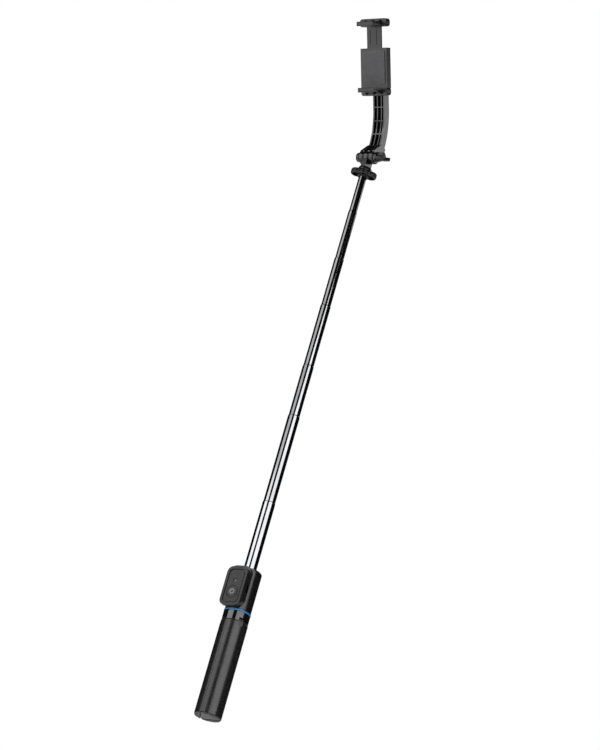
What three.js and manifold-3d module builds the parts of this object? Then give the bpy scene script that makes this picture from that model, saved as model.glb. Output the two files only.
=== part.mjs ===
// Selfie stick with folding tripod legs, detachable remote, telescopic pole and sprung phone clamp.
// Millimetres, +Z up the pole, -Y towards the user's side of the remote, +X towards the tilt knob.
// Origin: centre of the hand grip, on the pole axis.

import * as THREE from "three";
import { mergeVertices } from "three/addons/utils/BufferGeometryUtils.js";
import Module from "manifold-3d";

const wasm = await Module();
wasm.setup();

// ---- Driving dimensions -------------------------------------------------------------------------

const GRIP_HEIGHT = 52;          // grip centre above the soles
const ROUND_SEGMENTS = 24;       // facets of everything turned about the pole
const SMALL_SEGMENTS = 12;       // facets of pins, screws and bosses
const CORNER_FACETS = 3;         // facets of each quarter-round corner that shows
const HIDDEN_FACETS = 2;         // facets of each corner inside
const LOBE_FACETS = 8;
const RUNNING = 0.05;            // radial clearance of a pin in its hole
const SEAT = 0.1;                // gap between two fixed pieces that meet face to face
const SLIP = 0.3;                // gap between pieces that slide or turn past each other
const BEYOND = 1;                // how far a cutting shape runs past the surface that it cuts

// Telescopic pole. Sections count from the thin top one, 1, down to 7.
const SECTION_COUNT = 7;
const TUBE_WALL = 0.28;
const TUBE_CLEARANCE = 0.12;
const TOP_TUBE_RADIUS = 4.4;
const TUBE_LENGTH = 120;
const BUSH_HEIGHT = 1.5;
// How much of each section shows at rest, from section 1 down to section 7.
const SECTION_SHOWN = [44.4, 59.3, 58.4, 73.3, 60, 101.2, 78.6];

// Legs and hub.
const LEG_ANGLES = { right: 60, rear: 180, left: 300 };
const LEG_WALL = 1.8;
const LEG_TOP = 102.6;
const LEG_CAP = 3;
const LEG_CORE_GAP = 0.15;       // between the core tube and the flat inner side of a leg
const LEG_SEAM = 0.35;           // between two closed legs at the rim
const LEG_RIBS = 3;
const LEG_RIB_WIDTH = 1.2;
const LEG_ARC_FACETS = 7;
const FOOT_HEIGHT = 1;
const FOOT_INSET = 0.6;
const FOOT_STEM_RADIUS = 1.6;
const FOOT_STEM_HEIGHT = 1.7;
const FOOT_STEM_INSET = 3.8;     // stem centre inside the leg's outer face
const KNUCKLE_RADIUS = 1.7;
const KNUCKLE_WIDTH = 5.4;
const KNUCKLE_NECK = 1.2;        // how far the tongue below the knuckle reaches outside the pin
const LEG_PIN_RADIUS = 0.8;
const LEG_PIN_HALF = 5;
const LEG_PIN_INSET = 2.2;       // pin centre inside the leg's outer face
const LEG_PIN_ABOVE_LEG = 2.6;
const LEG_POCKET_DEPTH = 0.9;
const LEG_POCKET_HEIGHT = 4.1;
const PLUG_LOW = 0.4;            // the core plug's plate sits just above the soles
const PLUG_HIGH = 2;
const PLUG_STEM = 4;
const PLUG_CORNERS = [-90, 30, 150];
const HUB_INSET = 0.3;           // hub, ring and housing stand inside the legs' outer face
const HUB_LEG_GAP = 0.4;
const HUB_CHAMFER = 0.8;
const HUB_HEIGHT = 10.5;
const RING_HEIGHT = 2;
const RING_INSET = 0.1;
const RING_WIDTH = 1.8;
const RING_EDGE = 0.4;

// Upper housing.
const HOUSING_INSET = 0.5;
const HOUSING_WALL = 1.8;
const HOUSING_HEIGHT = 46.2;
const HOUSING_ROOF = 2.4;
const HOUSING_EDGE = 2.2;        // radius of the shoulder, and how far its middle facet's corner is set in
const HOUSING_KNEE = 0.66;
const HOUSING_FLAT_DEPTH = 2.8;  // depth of the flat that the cradle sits on
const HOUSING_FLAT_WALL = 1.5;
const HOUSING_LIP = 1.2;
const COLLAR_WIDTH = 2;
const COLLAR_HEIGHT = 1.2;
const COLLAR_EDGE = 0.5;

// Remote and its cradle. Heights are measured from the top of the coloured ring.
const REMOTE_WIDTH = 24.5;
const REMOTE_HEIGHT = 43;
const REMOTE_CORNER = 6.5;
const REMOTE_BOTTOM = -0.1;
const REMOTE_FRONT_DEPTH = 4;
const REMOTE_BEVEL = 1.4;
const REMOTE_WALL = 1.2;
const REMOTE_BACK_INSET = 1.1;   // the back shell is narrower than the front one by this on each side
const REMOTE_BACK_SHORTER = 3;
const REMOTE_BACK_DEPTH = 3.1;
const REMOTE_BACK_EDGE = 0.4;
const PANEL_INSET = 2.8;
const PANEL_DEPTH = 0.4;
const CRADLE_FLOOR = 2;
const CRADLE_WALL = 1.4;
const CRADLE_DEPTH = 5.1;
const CRADLE_BOTTOM = 1.4;
const CRADLE_HEIGHT = 44.4;
const CRADLE_CORNER = 8;
const CRADLE_EDGE = 0.5;
const NOTCH_RADIUS = 8;
const NOTCH_DEPTH = 4;
const SCREW_RADIUS = 0.9;
const SCREW_HEAD_RADIUS = 1.9;
const SCREW_HEAD_HEIGHT = 1;
const SCREW_DRIVE_RADIUS = 0.63;
const SCREW_DRIVE_SIDES = 6;
const CRADLE_SCREW_OFFSET = 13;
const BUTTON_RADIUS = 6.5;
const BUTTON_GAP = 0.4;
const BUTTON_BELOW_CENTRE = 6.3;
const BUTTON_PROUD = 0.35;
const BUTTON_EDGE = 0.5;
const BUTTON_TRAVEL = 0.5;
const BUTTON_FLANGE = 0.9;
const BUTTON_FLANGE_HEIGHT = 0.45;
const LENS_RADIUS = 1.9;
const LENS_ABOVE_CENTRE = 6.1;
const LENS_DEPTH = 1.4;
const BOARD_THICKNESS = 0.8;
const BOARD_MARGIN = 0.5;
const CELL_RADIUS = 8;
const CELL_HEIGHT = 1.9;

// Pan nut, swivel head and tilt hinge.
const FERRULE_RADIUS = 6.5;
const FERRULE_HEIGHT = 1;
const FERRULE_PLUG = 10;
const STUD_RADIUS = 3;
const STUD_HEIGHT = 9.4;
const NUT_HEIGHT = 5.6;
const NUT_LOBE_OUT = 7.9;
const NUT_LOBE_RADIUS = 6.6;
const NUT_WAIST_RADIUS = 7.4;
const NUT_RECESS_RADIUS = 4.6;
const NUT_RECESS_DEPTH = 3.6;
const NUT_RECESS_FACETS = 14;
const NUT_BOSS_WALL = 2.4;
const NUT_LOBE_EDGE = 0.8;
const NUT_WAIST_EDGE = 0.5;
const NUT_WAIST_STEP = 0.4;
const NUT_ANGLE = 34;
const SWIVEL_RADIUS = 7.5;
const SWIVEL_HEIGHT = 3.8;
const SWIVEL_EDGE = 1;
const NECK_HALF = 6.4;           // half the depth of the neck between the swivel's foot and barrel
const HINGE_HEIGHT = 18.2;       // tilt axis above the swivel head's underside
const BARREL_RADIUS = 8;
const TONGUE_WIDTH = 6;
const PRONG_OUTER = 8.8;
const BOLT_RADIUS = 2;
const WASHER_THICKNESS = 0.7;
const WASHER_RADIUS = 5;
const CAP_NUT_RADIUS = 5.6;
const CAP_NUT_HEIGHT = 4.2;
const CAP_NUT_EDGE = 1.5;
const KNOB_HUB_RADIUS = 5.6;
const KNOB_TIP_RADIUS = 4.2;
const KNOB_LENGTH = 10.5;
const KNOB_WING_WIDTH = 3.2;
const KNOB_WING_REACH = 8.4;
const KNOB_WING_OUT = 14.2;
const KNOB_ANGLE = -85;
const KNOB_COLLAR = 3;
const KNOB_EDGE = 1;
const KNOB_WING_CORNER = 3;
const KNOB_WING_EDGE = 0.5;
const BOLT_IN_KNOB = 5;

// Curved arm. Its lower end runs parallel to the pole, behind and above the tilt axis.
const CLAMP_TILT = 31.7;         // degrees the clamp leans forward of the pole
const ARM_BEND_RADIUS = 82;
const ARM_BEHIND = 9.9;
const ARM_BEND_START = 17.8;
const ARM_STRAIGHT = 57.3;       // from the end of the bend to the clamp's centre
const ARM_WIDTH = 14.6;
const ARM_DEPTH = 9.9;
const ARM_WALL = 1.6;
const ARM_RIB_WIDTH = 1;
const ARM_RIB_OUT = 2.5;
const ARM_RIB_SETBACK = 1.2;
const ARM_CROSS_RIBS = 5;
const ARM_CROSS_SETBACK = 0.5;
const FORK_BLOCK = 5;
const FORK_OVERLAP = 1;          // how far the fork block runs up into the channel
const PRONG_HEEL = 3;

// Phone clamp. Its own frame has +Z from the lower to the upper jaw and -Y towards the phone's screen.
const PHONE_WIDTH = 71;          // the handset that the jaws are set to at rest
const CLAMP_WIDTH = 33;
const CLAMP_DEPTH = 8.8;
const CLAMP_WALL = 1.6;
const CLAMP_TO_ARM = 0.85;
const JAW_HEIGHT = 9;
const JAW_EDGE = 1.5;
const HOOK_WIDTH = 20.2;
const HOOK_REACH = 18.7;
const HOOK_DROP = 3.6;           // the hook's top face below the jaw's top
const HOOK_THICKNESS = 2.2;
const LIP_HEIGHT = 5;
const LIP_THICKNESS = 2;
const HOOK_EDGE = 1;
const JAW_BEVEL = 0.6;
const GUSSET_WIDTH = 1.6;
const GUSSET_REACH = 5;
const PAD_THICKNESS = 0.8;
const PAD_MARGIN = 1.2;
const BACK_PAD_MARGIN = 3;
const BASE_TOP = 10;
const SLIDER_WIDTH = 18;
const GUIDE_WIDTH = 0.9;
const SLIDER_THICKNESS = 2.2;
const JAW_CLOSING = 14;
const SLIDER_SPARE = 0.9;        // left below the slider when the jaw is shut
const COVER_THICKNESS = 1.7;
const SPRING_RADIUS = 0.85;
const SPRING_TURN_FACETS = 6;
const SPRING_WIRE = 0.28;
const SPRING_OUT = 6.3;
const SPRING_TURNS = 8;
const SPRING_TOP = 4.5;
const SPRING_PEG_RADIUS = 0.7;
const SPRING_PEG_ABOVE = 1.5;    // the peg's centre above the end of the coil
const ROOT = 0.5;                // how far a rib, post or peg is sunk into the wall that it stands on
const SPRING_TAB = 2;
const PIVOT_RADIUS = 2.5;
const PIVOT_HEAD_RADIUS = 4.6;
const PIVOT_HEAD_HEIGHT = 1.6;
const PIVOT_HEAD_EDGE = 0.6;
const PIVOT_SLOT_WIDTH = 1;
const PIVOT_WASHER_RADIUS = 6.2;
const PIVOT_WASHER_THICKNESS = 0.6;
const PIVOT_NUT_RADIUS = 4;
const PIVOT_NUT_HEIGHT = 2;
const PIVOT_NUT_SIDES = 6;
const COVER_SCREW_X = 12.3;
const COVER_POST_RADIUS = 2;
const COVER_SCREW_ABOVE_JAW = 6.4;

// ---- Values worked out from them ----------------------------------------------------------------

const tubeRadius = (section) => TOP_TUBE_RADIUS + (section - 1) * (TUBE_WALL + TUBE_CLEARANCE);
const CORE_RADIUS = tubeRadius(SECTION_COUNT + 1);
const CORE_BORE = CORE_RADIUS - TUBE_WALL;
const LEG_CHORD = CORE_RADIUS + LEG_CORE_GAP;
// Three discs' slices, each beyond a chord, close to a full circle when their corners meet at the seams.
const LEG_RADIUS = Math.hypot(LEG_CHORD, Math.sqrt(3) * LEG_CHORD - LEG_SEAM);
const LEG_PIN_OUT = LEG_RADIUS - LEG_PIN_INSET;
const FOOT_STEM_OUT = LEG_RADIUS - FOOT_STEM_INSET;
const HUB_RADIUS = LEG_RADIUS - HUB_INSET;
const RING_RADIUS = LEG_RADIUS - RING_INSET;
const RING_SPIGOT_RADIUS = RING_RADIUS - RING_WIDTH;
const HOUSING_RADIUS = LEG_RADIUS - HOUSING_INSET;
const HOUSING_FLAT = HOUSING_RADIUS - HOUSING_FLAT_DEPTH;
const COLLAR_RADIUS = CORE_RADIUS + COLLAR_WIDTH;
const PLUG_FLAT = CORE_RADIUS - LEG_CORE_GAP;
const LEG_PIN_HEIGHT = LEG_TOP + LEG_PIN_ABOVE_LEG;
const HUB_BOTTOM = LEG_TOP + HUB_LEG_GAP;
const HUB_TOP = HUB_BOTTOM + HUB_HEIGHT;
const HOUSING_BOTTOM = HUB_TOP + RING_HEIGHT + SEAT;
const HOUSING_TOP = HOUSING_BOTTOM + HOUSING_HEIGHT;
const SLOT_WIDTH = KNUCKLE_WIDTH + 2 * SLIP;
const REMOTE_CENTRE = HUB_TOP + RING_HEIGHT + REMOTE_BOTTOM + REMOTE_HEIGHT / 2;
const CRADLE_BACK = HOUSING_FLAT + SEAT;
const REMOTE_BACK = CRADLE_BACK + CRADLE_FLOOR + SLIP;
const REMOTE_SPLIT = REMOTE_BACK + REMOTE_BACK_DEPTH + SEAT;
const REMOTE_FRONT = REMOTE_SPLIT + REMOTE_FRONT_DEPTH;
const BUTTON_FLANGE_FRONT = REMOTE_FRONT - PANEL_DEPTH - REMOTE_WALL - SEAT;
const BOARD_FRONT = BUTTON_FLANGE_FRONT - BUTTON_FLANGE_HEIGHT - BUTTON_TRAVEL - SLIP;
const JAW_HALF_HEIGHT = PHONE_WIDTH / 2 + PAD_THICKNESS + SLIP + HOOK_THICKNESS + HOOK_DROP;
const JAW_INNER = JAW_HALF_HEIGHT - JAW_HEIGHT;
const SLIDER_BOTTOM = -JAW_INNER + JAW_CLOSING + SLIDER_SPARE;
const COVER_SCREW_Z = JAW_INNER - COVER_SCREW_ABOVE_JAW;
const SPRING_BOTTOM = -JAW_INNER + SPRING_TAB + SPRING_WIRE + SEAT;
const SPRING_MIDDLE = CLAMP_DEPTH - COVER_THICKNESS - SLIP - SPRING_RADIUS - SPRING_WIRE;
const RADIANS = Math.PI / 180;

// Radius of the hole that a faceted pin turns in: the hole's flats clear the pin's corners.
const turningBore = (radius) => (radius + RUNNING) / Math.cos(Math.PI / SMALL_SEGMENTS);

// ---- Materials ----------------------------------------------------------------------------------

const material = (color, roughness, metalness) =>
  new THREE.MeshStandardMaterial({ color, roughness, metalness });
const MATERIALS = {
  satin: () => material(0x1c1c1d, 0.45, 0),
  gloss: () => material(0x0b0b0c, 0.12, 0),
  accent: () => material(0x1f7cb4, 0.35, 0),
  panel: () => material(0x242425, 0.55, 0),
  print: () => material(0x8a8c90, 0.5, 0),
  lens: () => material(0x3a3d42, 0.1, 0),
  board: () => material(0x1f5a35, 0.6, 0),
  steel: () => material(0xb9bcc0, 0.3, 1),
  pole: () => material(0x3b3c40, 0.12, 1),
  nylon: () => material(0xd9d9d4, 0.6, 0),
  rubber: () => material(0x353638, 0.8, 0),
  grey: () => material(0x4c4d50, 0.7, 0),
};

// ---- Geometry helpers ---------------------------------------------------------------------------

// A closed three.js geometry as a solid, with shared vertices merged.
function solid(geometry) {
  const bare = geometry.index ? geometry.toNonIndexed() : geometry.clone();
  bare.deleteAttribute("normal");
  bare.deleteAttribute("uv");
  const merged = mergeVertices(bare, 1e-4);
  return new wasm.Manifold(
    new wasm.Mesh({
      numProp: 3,
      vertProperties: merged.attributes.position.array,
      triVerts: new Uint32Array(merged.index.array),
    }),
  );
}

const join = (...parts) => parts.reduce((whole, part) => whole.add(part));
const cut = (whole, ...tools) => tools.reduce((rest, tool) => rest.subtract(tool), whole);

// A solid as a flat-shaded geometry.
function toGeometry(shape) {
  const { vertProperties, triVerts, numProp } = shape.getMesh();
  const positions = new Float32Array((vertProperties.length / numProp) * 3);
  for (let i = 0; i < positions.length / 3; i++) {
    positions.set(vertProperties.subarray(i * numProp, i * numProp + 3), i * 3);
  }
  const geometry = new THREE.BufferGeometry();
  geometry.setAttribute("position", new THREE.BufferAttribute(positions, 3));
  geometry.setIndex(new THREE.BufferAttribute(new Uint32Array(triVerts), 1));
  const flat = geometry.toNonIndexed();
  flat.computeVertexNormals();
  return flat;
}

function addPart(group, name, shape, look) {
  const mesh = new THREE.Mesh(toGeometry(shape), look());
  mesh.name = name;
  group.add(mesh);
  return mesh;
}

// A body turned about Z from [radius, height] pairs listed counter-clockwise. The profile closes on the
// axis or on itself.
function turned(profile, segments = ROUND_SEGMENTS) {
  const points = profile.map(([radius, height]) => new THREE.Vector2(radius, height));
  return solid(new THREE.LatheGeometry(points, segments).rotateX(Math.PI / 2));
}

function disc(radius, low, high, segments = ROUND_SEGMENTS) {
  return turned([[0, low], [radius, low], [radius, high], [0, high]], segments);
}

function ring(inner, outer, low, high, segments = ROUND_SEGMENTS) {
  return turned([[inner, low], [outer, low], [outer, high], [inner, high], [inner, low]], segments);
}

// A box between two corners.
function block([x0, y0, z0], [x1, y1, z1]) {
  const box = new THREE.BoxGeometry(x1 - x0, y1 - y0, z1 - z0);
  return solid(box.translate((x0 + x1) / 2, (y0 + y1) / 2, (z0 + z1) / 2));
}

const ALONG_X = new THREE.Matrix4().makeBasis(
  new THREE.Vector3(0, 1, 0), new THREE.Vector3(0, 0, 1), new THREE.Vector3(1, 0, 0));
const ALONG_Y = new THREE.Matrix4().makeBasis(
  new THREE.Vector3(0, 0, 1), new THREE.Vector3(1, 0, 0), new THREE.Vector3(0, 1, 0));

// A flat outline given thickness. "Z" keeps it level, "X" stands its (y, z) outline across X, and
// "Y" stands its (z, x) outline across Y.
function slab(shape, low, high, axis = "Z", curveSegments = 5, bevel = 0) {
  const geometry = new THREE.ExtrudeGeometry(shape, {
    depth: high - low - 2 * bevel,
    curveSegments,
    bevelEnabled: bevel > 0,
    bevelThickness: bevel,
    bevelSize: bevel,
    bevelOffset: -bevel,
    bevelSegments: 1,
  });
  geometry.translate(0, 0, low + bevel);
  if (axis === "X") geometry.applyMatrix4(ALONG_X);
  if (axis === "Y") geometry.applyMatrix4(ALONG_Y);
  return solid(geometry);
}

// A cylinder along X or Y, centred on the point where the other two coordinates are given.
function rod(axis, radius, low, high, [a, b], segments = SMALL_SEGMENTS) {
  const cylinder = new THREE.CylinderGeometry(radius, radius, high - low, segments);
  const middle = (low + high) / 2;
  if (axis === "X") return solid(cylinder.rotateZ(Math.PI / 2).translate(middle, a, b));
  return solid(cylinder.translate(a, middle, b));
}

// A rounded rectangle in the (z, x) plane, for slab(..., "Y").
function roundedOutline(width, height, corner, centre) {
  const shape = new THREE.Shape();
  const z = height / 2 - corner;
  const x = width / 2 - corner;
  shape.absarc(centre + z, x, corner, 0, Math.PI / 2);
  shape.absarc(centre - z, x, corner, Math.PI / 2, Math.PI);
  shape.absarc(centre - z, -x, corner, Math.PI, 1.5 * Math.PI);
  shape.absarc(centre + z, -x, corner, 1.5 * Math.PI, 2 * Math.PI);
  shape.closePath();
  return shape;
}

function polygon(points) {
  return new THREE.Shape(points.map(([a, b]) => new THREE.Vector2(a, b)));
}

function circle(radius, a = 0, b = 0) {
  const shape = new THREE.Shape();
  shape.absarc(a, b, radius, 0, 2 * Math.PI);
  return shape;
}

// ---- Handle: legs, feet, pins, hub, ring, core tube, housing -------------------------------------

// The slice of a disc beyond a chord, facing -Y.
function segmentOutline(radius, chord) {
  const half = Math.acos(chord / radius);
  const shape = new THREE.Shape();
  shape.absarc(0, 0, radius, -Math.PI / 2 - half, -Math.PI / 2 + half);
  shape.closePath();
  return shape;
}

function legShape() {
  const bottom = FOOT_HEIGHT + SEAT;
  const hollowLow = bottom + LEG_CAP;
  const hollowHigh = LEG_TOP - LEG_CAP;
  const bays = LEG_RIBS + 1;
  const bay = (hollowHigh - hollowLow - LEG_RIBS * LEG_RIB_WIDTH) / bays;
  const hollowOutline = segmentOutline(LEG_RADIUS - LEG_WALL, LEG_CHORD - BEYOND);
  let leg = slab(segmentOutline(LEG_RADIUS, LEG_CHORD), bottom, LEG_TOP, "Z", LEG_ARC_FACETS);
  for (let i = 0; i < bays; i++) {
    const low = hollowLow + i * (bay + LEG_RIB_WIDTH);
    leg = cut(leg, slab(hollowOutline, low, low + bay, "Z", LEG_ARC_FACETS));
  }
  const halfWidth = KNUCKLE_WIDTH / 2;
  const pocketFace = LEG_RADIUS - LEG_POCKET_DEPTH;
  const tongue = join(
    rod("X", KNUCKLE_RADIUS, -halfWidth, halfWidth, [-LEG_PIN_OUT, LEG_PIN_HEIGHT]),
    block(
      [-halfWidth, -(LEG_PIN_OUT + KNUCKLE_NECK), LEG_TOP - LEG_CAP / 2],
      [halfWidth, -(LEG_PIN_OUT - KNUCKLE_RADIUS), LEG_PIN_HEIGHT],
    ),
  );
  const pocket = block(
    [-SLOT_WIDTH / 2, -LEG_RADIUS - BEYOND, LEG_TOP - LEG_POCKET_HEIGHT],
    [SLOT_WIDTH / 2, -pocketFace, LEG_TOP + BEYOND],
  );
  const stemTop = FOOT_HEIGHT + FOOT_STEM_HEIGHT + SEAT;
  const stemHole = disc(FOOT_STEM_RADIUS + RUNNING, 0, stemTop, SMALL_SEGMENTS)
    .translate(0, -FOOT_STEM_OUT, 0);
  const pinHole = rod(
    "X", turningBore(LEG_PIN_RADIUS), -halfWidth - BEYOND, halfWidth + BEYOND,
    [-LEG_PIN_OUT, LEG_PIN_HEIGHT]);
  return cut(join(leg, tongue), pocket, stemHole, pinHole);
}

function footShape() {
  const flange = slab(
    segmentOutline(LEG_RADIUS - FOOT_INSET, LEG_CHORD + FOOT_INSET / 2), 0, FOOT_HEIGHT, "Z",
    LEG_ARC_FACETS);
  const stem = disc(FOOT_STEM_RADIUS, FOOT_HEIGHT / 2, FOOT_HEIGHT + FOOT_STEM_HEIGHT, SMALL_SEGMENTS);
  return join(flange, stem.translate(0, -FOOT_STEM_OUT, 0));
}

function addLegs(group) {
  for (const [name, angle] of Object.entries(LEG_ANGLES)) {
    const leg = new THREE.Group();
    leg.rotation.z = angle * RADIANS;
    addPart(leg, `leg_${name}`, legShape(), MATERIALS.satin);
    addPart(leg, `foot_${name}`, footShape(), MATERIALS.rubber);
    const pin = rod("X", LEG_PIN_RADIUS, -LEG_PIN_HALF, LEG_PIN_HALF, [-LEG_PIN_OUT, LEG_PIN_HEIGHT]);
    addPart(leg, `leg_pin_${name}`, pin, MATERIALS.steel);
    group.add(leg);
  }
}

function hubShape() {
  const bore = CORE_RADIUS + RUNNING;
  let hub = turned([
    [bore, HUB_BOTTOM],
    [HUB_RADIUS - HUB_CHAMFER, HUB_BOTTOM],
    [HUB_RADIUS, HUB_BOTTOM + HUB_CHAMFER],
    [HUB_RADIUS, HUB_TOP],
    [RING_SPIGOT_RADIUS, HUB_TOP],
    [RING_SPIGOT_RADIUS, HUB_TOP + RING_HEIGHT],
    [bore, HUB_TOP + RING_HEIGHT],
    [bore, HUB_BOTTOM],
  ]);
  for (const angle of Object.values(LEG_ANGLES)) {
    const slot = block(
      [-SLOT_WIDTH / 2, -HUB_RADIUS - BEYOND, HUB_BOTTOM - BEYOND],
      [SLOT_WIDTH / 2, -(LEG_PIN_OUT - KNUCKLE_RADIUS - SLIP), LEG_PIN_HEIGHT + KNUCKLE_RADIUS + SLIP],
    );
    const hole = rod(
      "X", LEG_PIN_RADIUS + RUNNING, -LEG_PIN_HALF - SEAT, LEG_PIN_HALF + SEAT,
      [-LEG_PIN_OUT, LEG_PIN_HEIGHT]);
    hub = cut(hub, join(slot, hole).rotate([0, 0, angle]));
  }
  return hub;
}

function ringShape() {
  const inner = RING_SPIGOT_RADIUS + RUNNING;
  const low = HUB_TOP + SEAT / 2;
  const high = HUB_TOP + RING_HEIGHT - SEAT / 2;
  return turned([
    [inner, low],
    [RING_RADIUS - RING_EDGE, low],
    [RING_RADIUS, low + RING_EDGE],
    [RING_RADIUS, high - RING_EDGE],
    [RING_RADIUS - RING_EDGE, high],
    [inner, high],
    [inner, low],
  ]);
}

function corePlugShape() {
  const corners = PLUG_CORNERS.map((degrees) => {
    const angle = degrees * RADIANS;
    return [2 * PLUG_FLAT * Math.cos(angle), 2 * PLUG_FLAT * Math.sin(angle)];
  });
  const plate = slab(polygon(corners), PLUG_LOW, PLUG_HIGH);
  return join(
    plate.intersect(disc(LEG_RADIUS - FOOT_INSET, PLUG_LOW - BEYOND, PLUG_HIGH + BEYOND)),
    disc(CORE_BORE - RUNNING, (PLUG_LOW + PLUG_HIGH) / 2, PLUG_HIGH + PLUG_STEM),
  );
}

function housingShape() {
  const bore = CORE_RADIUS + RUNNING;
  const low = HOUSING_BOTTOM;
  const high = HOUSING_TOP;
  const roof = high - HOUSING_ROOF;
  const inner = HOUSING_RADIUS - HOUSING_WALL;
  const body = turned([
    [0, low],
    [HOUSING_RADIUS, low],
    [HOUSING_RADIUS, high - HOUSING_EDGE],
    [HOUSING_RADIUS - HOUSING_KNEE, high - HOUSING_KNEE],
    [HOUSING_RADIUS - HOUSING_EDGE, high],
    [0, high],
  ]);
  const reach = HOUSING_RADIUS + BEYOND;
  const front = block([-reach, -reach, low + HOUSING_LIP], [reach, -HOUSING_FLAT, high + BEYOND]);
  const keep = block([-reach, -(HOUSING_FLAT - HOUSING_FLAT_WALL), low - BEYOND], [reach, reach, roof]);
  const hollow = disc(inner, low - BEYOND, roof).intersect(keep);
  const collarSeat = disc(COLLAR_RADIUS + RUNNING, high - COLLAR_HEIGHT - SEAT, high + BEYOND);
  let housing = cut(body, front, hollow, disc(bore, low - BEYOND, high + BEYOND), collarSeat);
  for (const side of [-1, 1]) {
    const at = [0, REMOTE_CENTRE + side * CRADLE_SCREW_OFFSET];
    housing = cut(housing, rod("Y", SCREW_RADIUS + RUNNING, -reach, -bore, at));
  }
  return housing;
}

function collarShape() {
  const low = HOUSING_TOP - COLLAR_HEIGHT;
  const inner = tubeRadius(SECTION_COUNT) + TUBE_CLEARANCE;
  return turned([
    [inner, low],
    [COLLAR_RADIUS, low],
    [COLLAR_RADIUS, low + COLLAR_HEIGHT - COLLAR_EDGE],
    [COLLAR_RADIUS - COLLAR_EDGE, low + COLLAR_HEIGHT],
    [inner, low + COLLAR_HEIGHT],
    [inner, low],
  ]);
}

function backOutline(extra = 0) {
  return roundedOutline(
    REMOTE_WIDTH - 2 * REMOTE_BACK_INSET + 2 * extra,
    REMOTE_HEIGHT - 2 * REMOTE_BACK_SHORTER + 2 * extra,
    REMOTE_CORNER - REMOTE_BACK_INSET + extra,
    REMOTE_CENTRE,
  );
}

function cradleShape() {
  const centre = HUB_TOP + RING_HEIGHT + CRADLE_BOTTOM + CRADLE_HEIGHT / 2;
  const width = REMOTE_WIDTH + 2 * (SLIP - REMOTE_BACK_INSET + CRADLE_WALL);
  const front = CRADLE_BACK + CRADLE_DEPTH;
  const floor = CRADLE_BACK + CRADLE_FLOOR;
  const outline = roundedOutline(width, CRADLE_HEIGHT, CRADLE_CORNER, centre);
  const body = slab(outline, -front, -CRADLE_BACK, "Y", CORNER_FACETS, CRADLE_EDGE);
  const pocket = slab(backOutline(SLIP), -front - BEYOND, -floor, "Y", HIDDEN_FACETS);
  const notchAxis = [-(front + NOTCH_RADIUS - NOTCH_DEPTH), REMOTE_CENTRE];
  const notch = rod("X", NOTCH_RADIUS, -width, width, notchAxis, ROUND_SEGMENTS);
  const between = width / 2 - CRADLE_WALL - BEYOND;
  const sides = cut(notch, block([-between, -width, 0], [between, 0, HOUSING_TOP]));
  let cradle = cut(body, pocket, sides);
  for (const side of [-1, 1]) {
    const at = [0, REMOTE_CENTRE + side * CRADLE_SCREW_OFFSET];
    cradle = cut(
      cradle,
      rod("Y", SCREW_RADIUS + RUNNING, -front, 0, at),
      rod("Y", SCREW_HEAD_RADIUS + RUNNING, -front, -(floor - SCREW_HEAD_HEIGHT - SEAT), at),
    );
  }
  return cradle;
}

function cradleScrewShape(side) {
  const at = [0, REMOTE_CENTRE + side * CRADLE_SCREW_OFFSET];
  const headBack = CRADLE_BACK + CRADLE_FLOOR - SCREW_HEAD_HEIGHT;
  const headMiddle = headBack + SCREW_HEAD_HEIGHT / 2;
  const headFront = headBack + SCREW_HEAD_HEIGHT;
  const tip = HOUSING_FLAT - HOUSING_FLAT_WALL - BEYOND;
  return cut(
    join(
      rod("Y", SCREW_HEAD_RADIUS, -headFront, -headBack, at),
      rod("Y", SCREW_RADIUS, -headMiddle, -tip, at),
    ),
    rod("Y", SCREW_DRIVE_RADIUS, -headFront - BEYOND, -headMiddle, at, SCREW_DRIVE_SIDES),
  );
}

function addHandle(group) {
  addLegs(group);
  addPart(group, "leg_hub", hubShape(), MATERIALS.gloss);
  addPart(group, "accent_ring", ringShape(), MATERIALS.accent);
  const coreTop = HOUSING_TOP - COLLAR_HEIGHT - 2 * SEAT;
  addPart(group, "core_tube", ring(CORE_BORE, CORE_RADIUS, PLUG_HIGH + SEAT, coreTop), MATERIALS.steel);
  addPart(group, "core_plug", corePlugShape(), MATERIALS.satin);
  addPart(group, "upper_housing", housingShape(), MATERIALS.satin);
  addPart(group, "housing_collar", collarShape(), MATERIALS.gloss);
  addPart(group, "remote_cradle", cradleShape(), MATERIALS.satin);
  addPart(group, "cradle_screw_lower", cradleScrewShape(-1), MATERIALS.steel);
  addPart(group, "cradle_screw_upper", cradleScrewShape(1), MATERIALS.steel);
}

// ---- Remote -------------------------------------------------------------------------------------

// The remote's outline, set in on every side.
function remoteOutline(inset, corner) {
  return roundedOutline(REMOTE_WIDTH - 2 * inset, REMOTE_HEIGHT - 2 * inset, corner, REMOTE_CENTRE);
}

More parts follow.
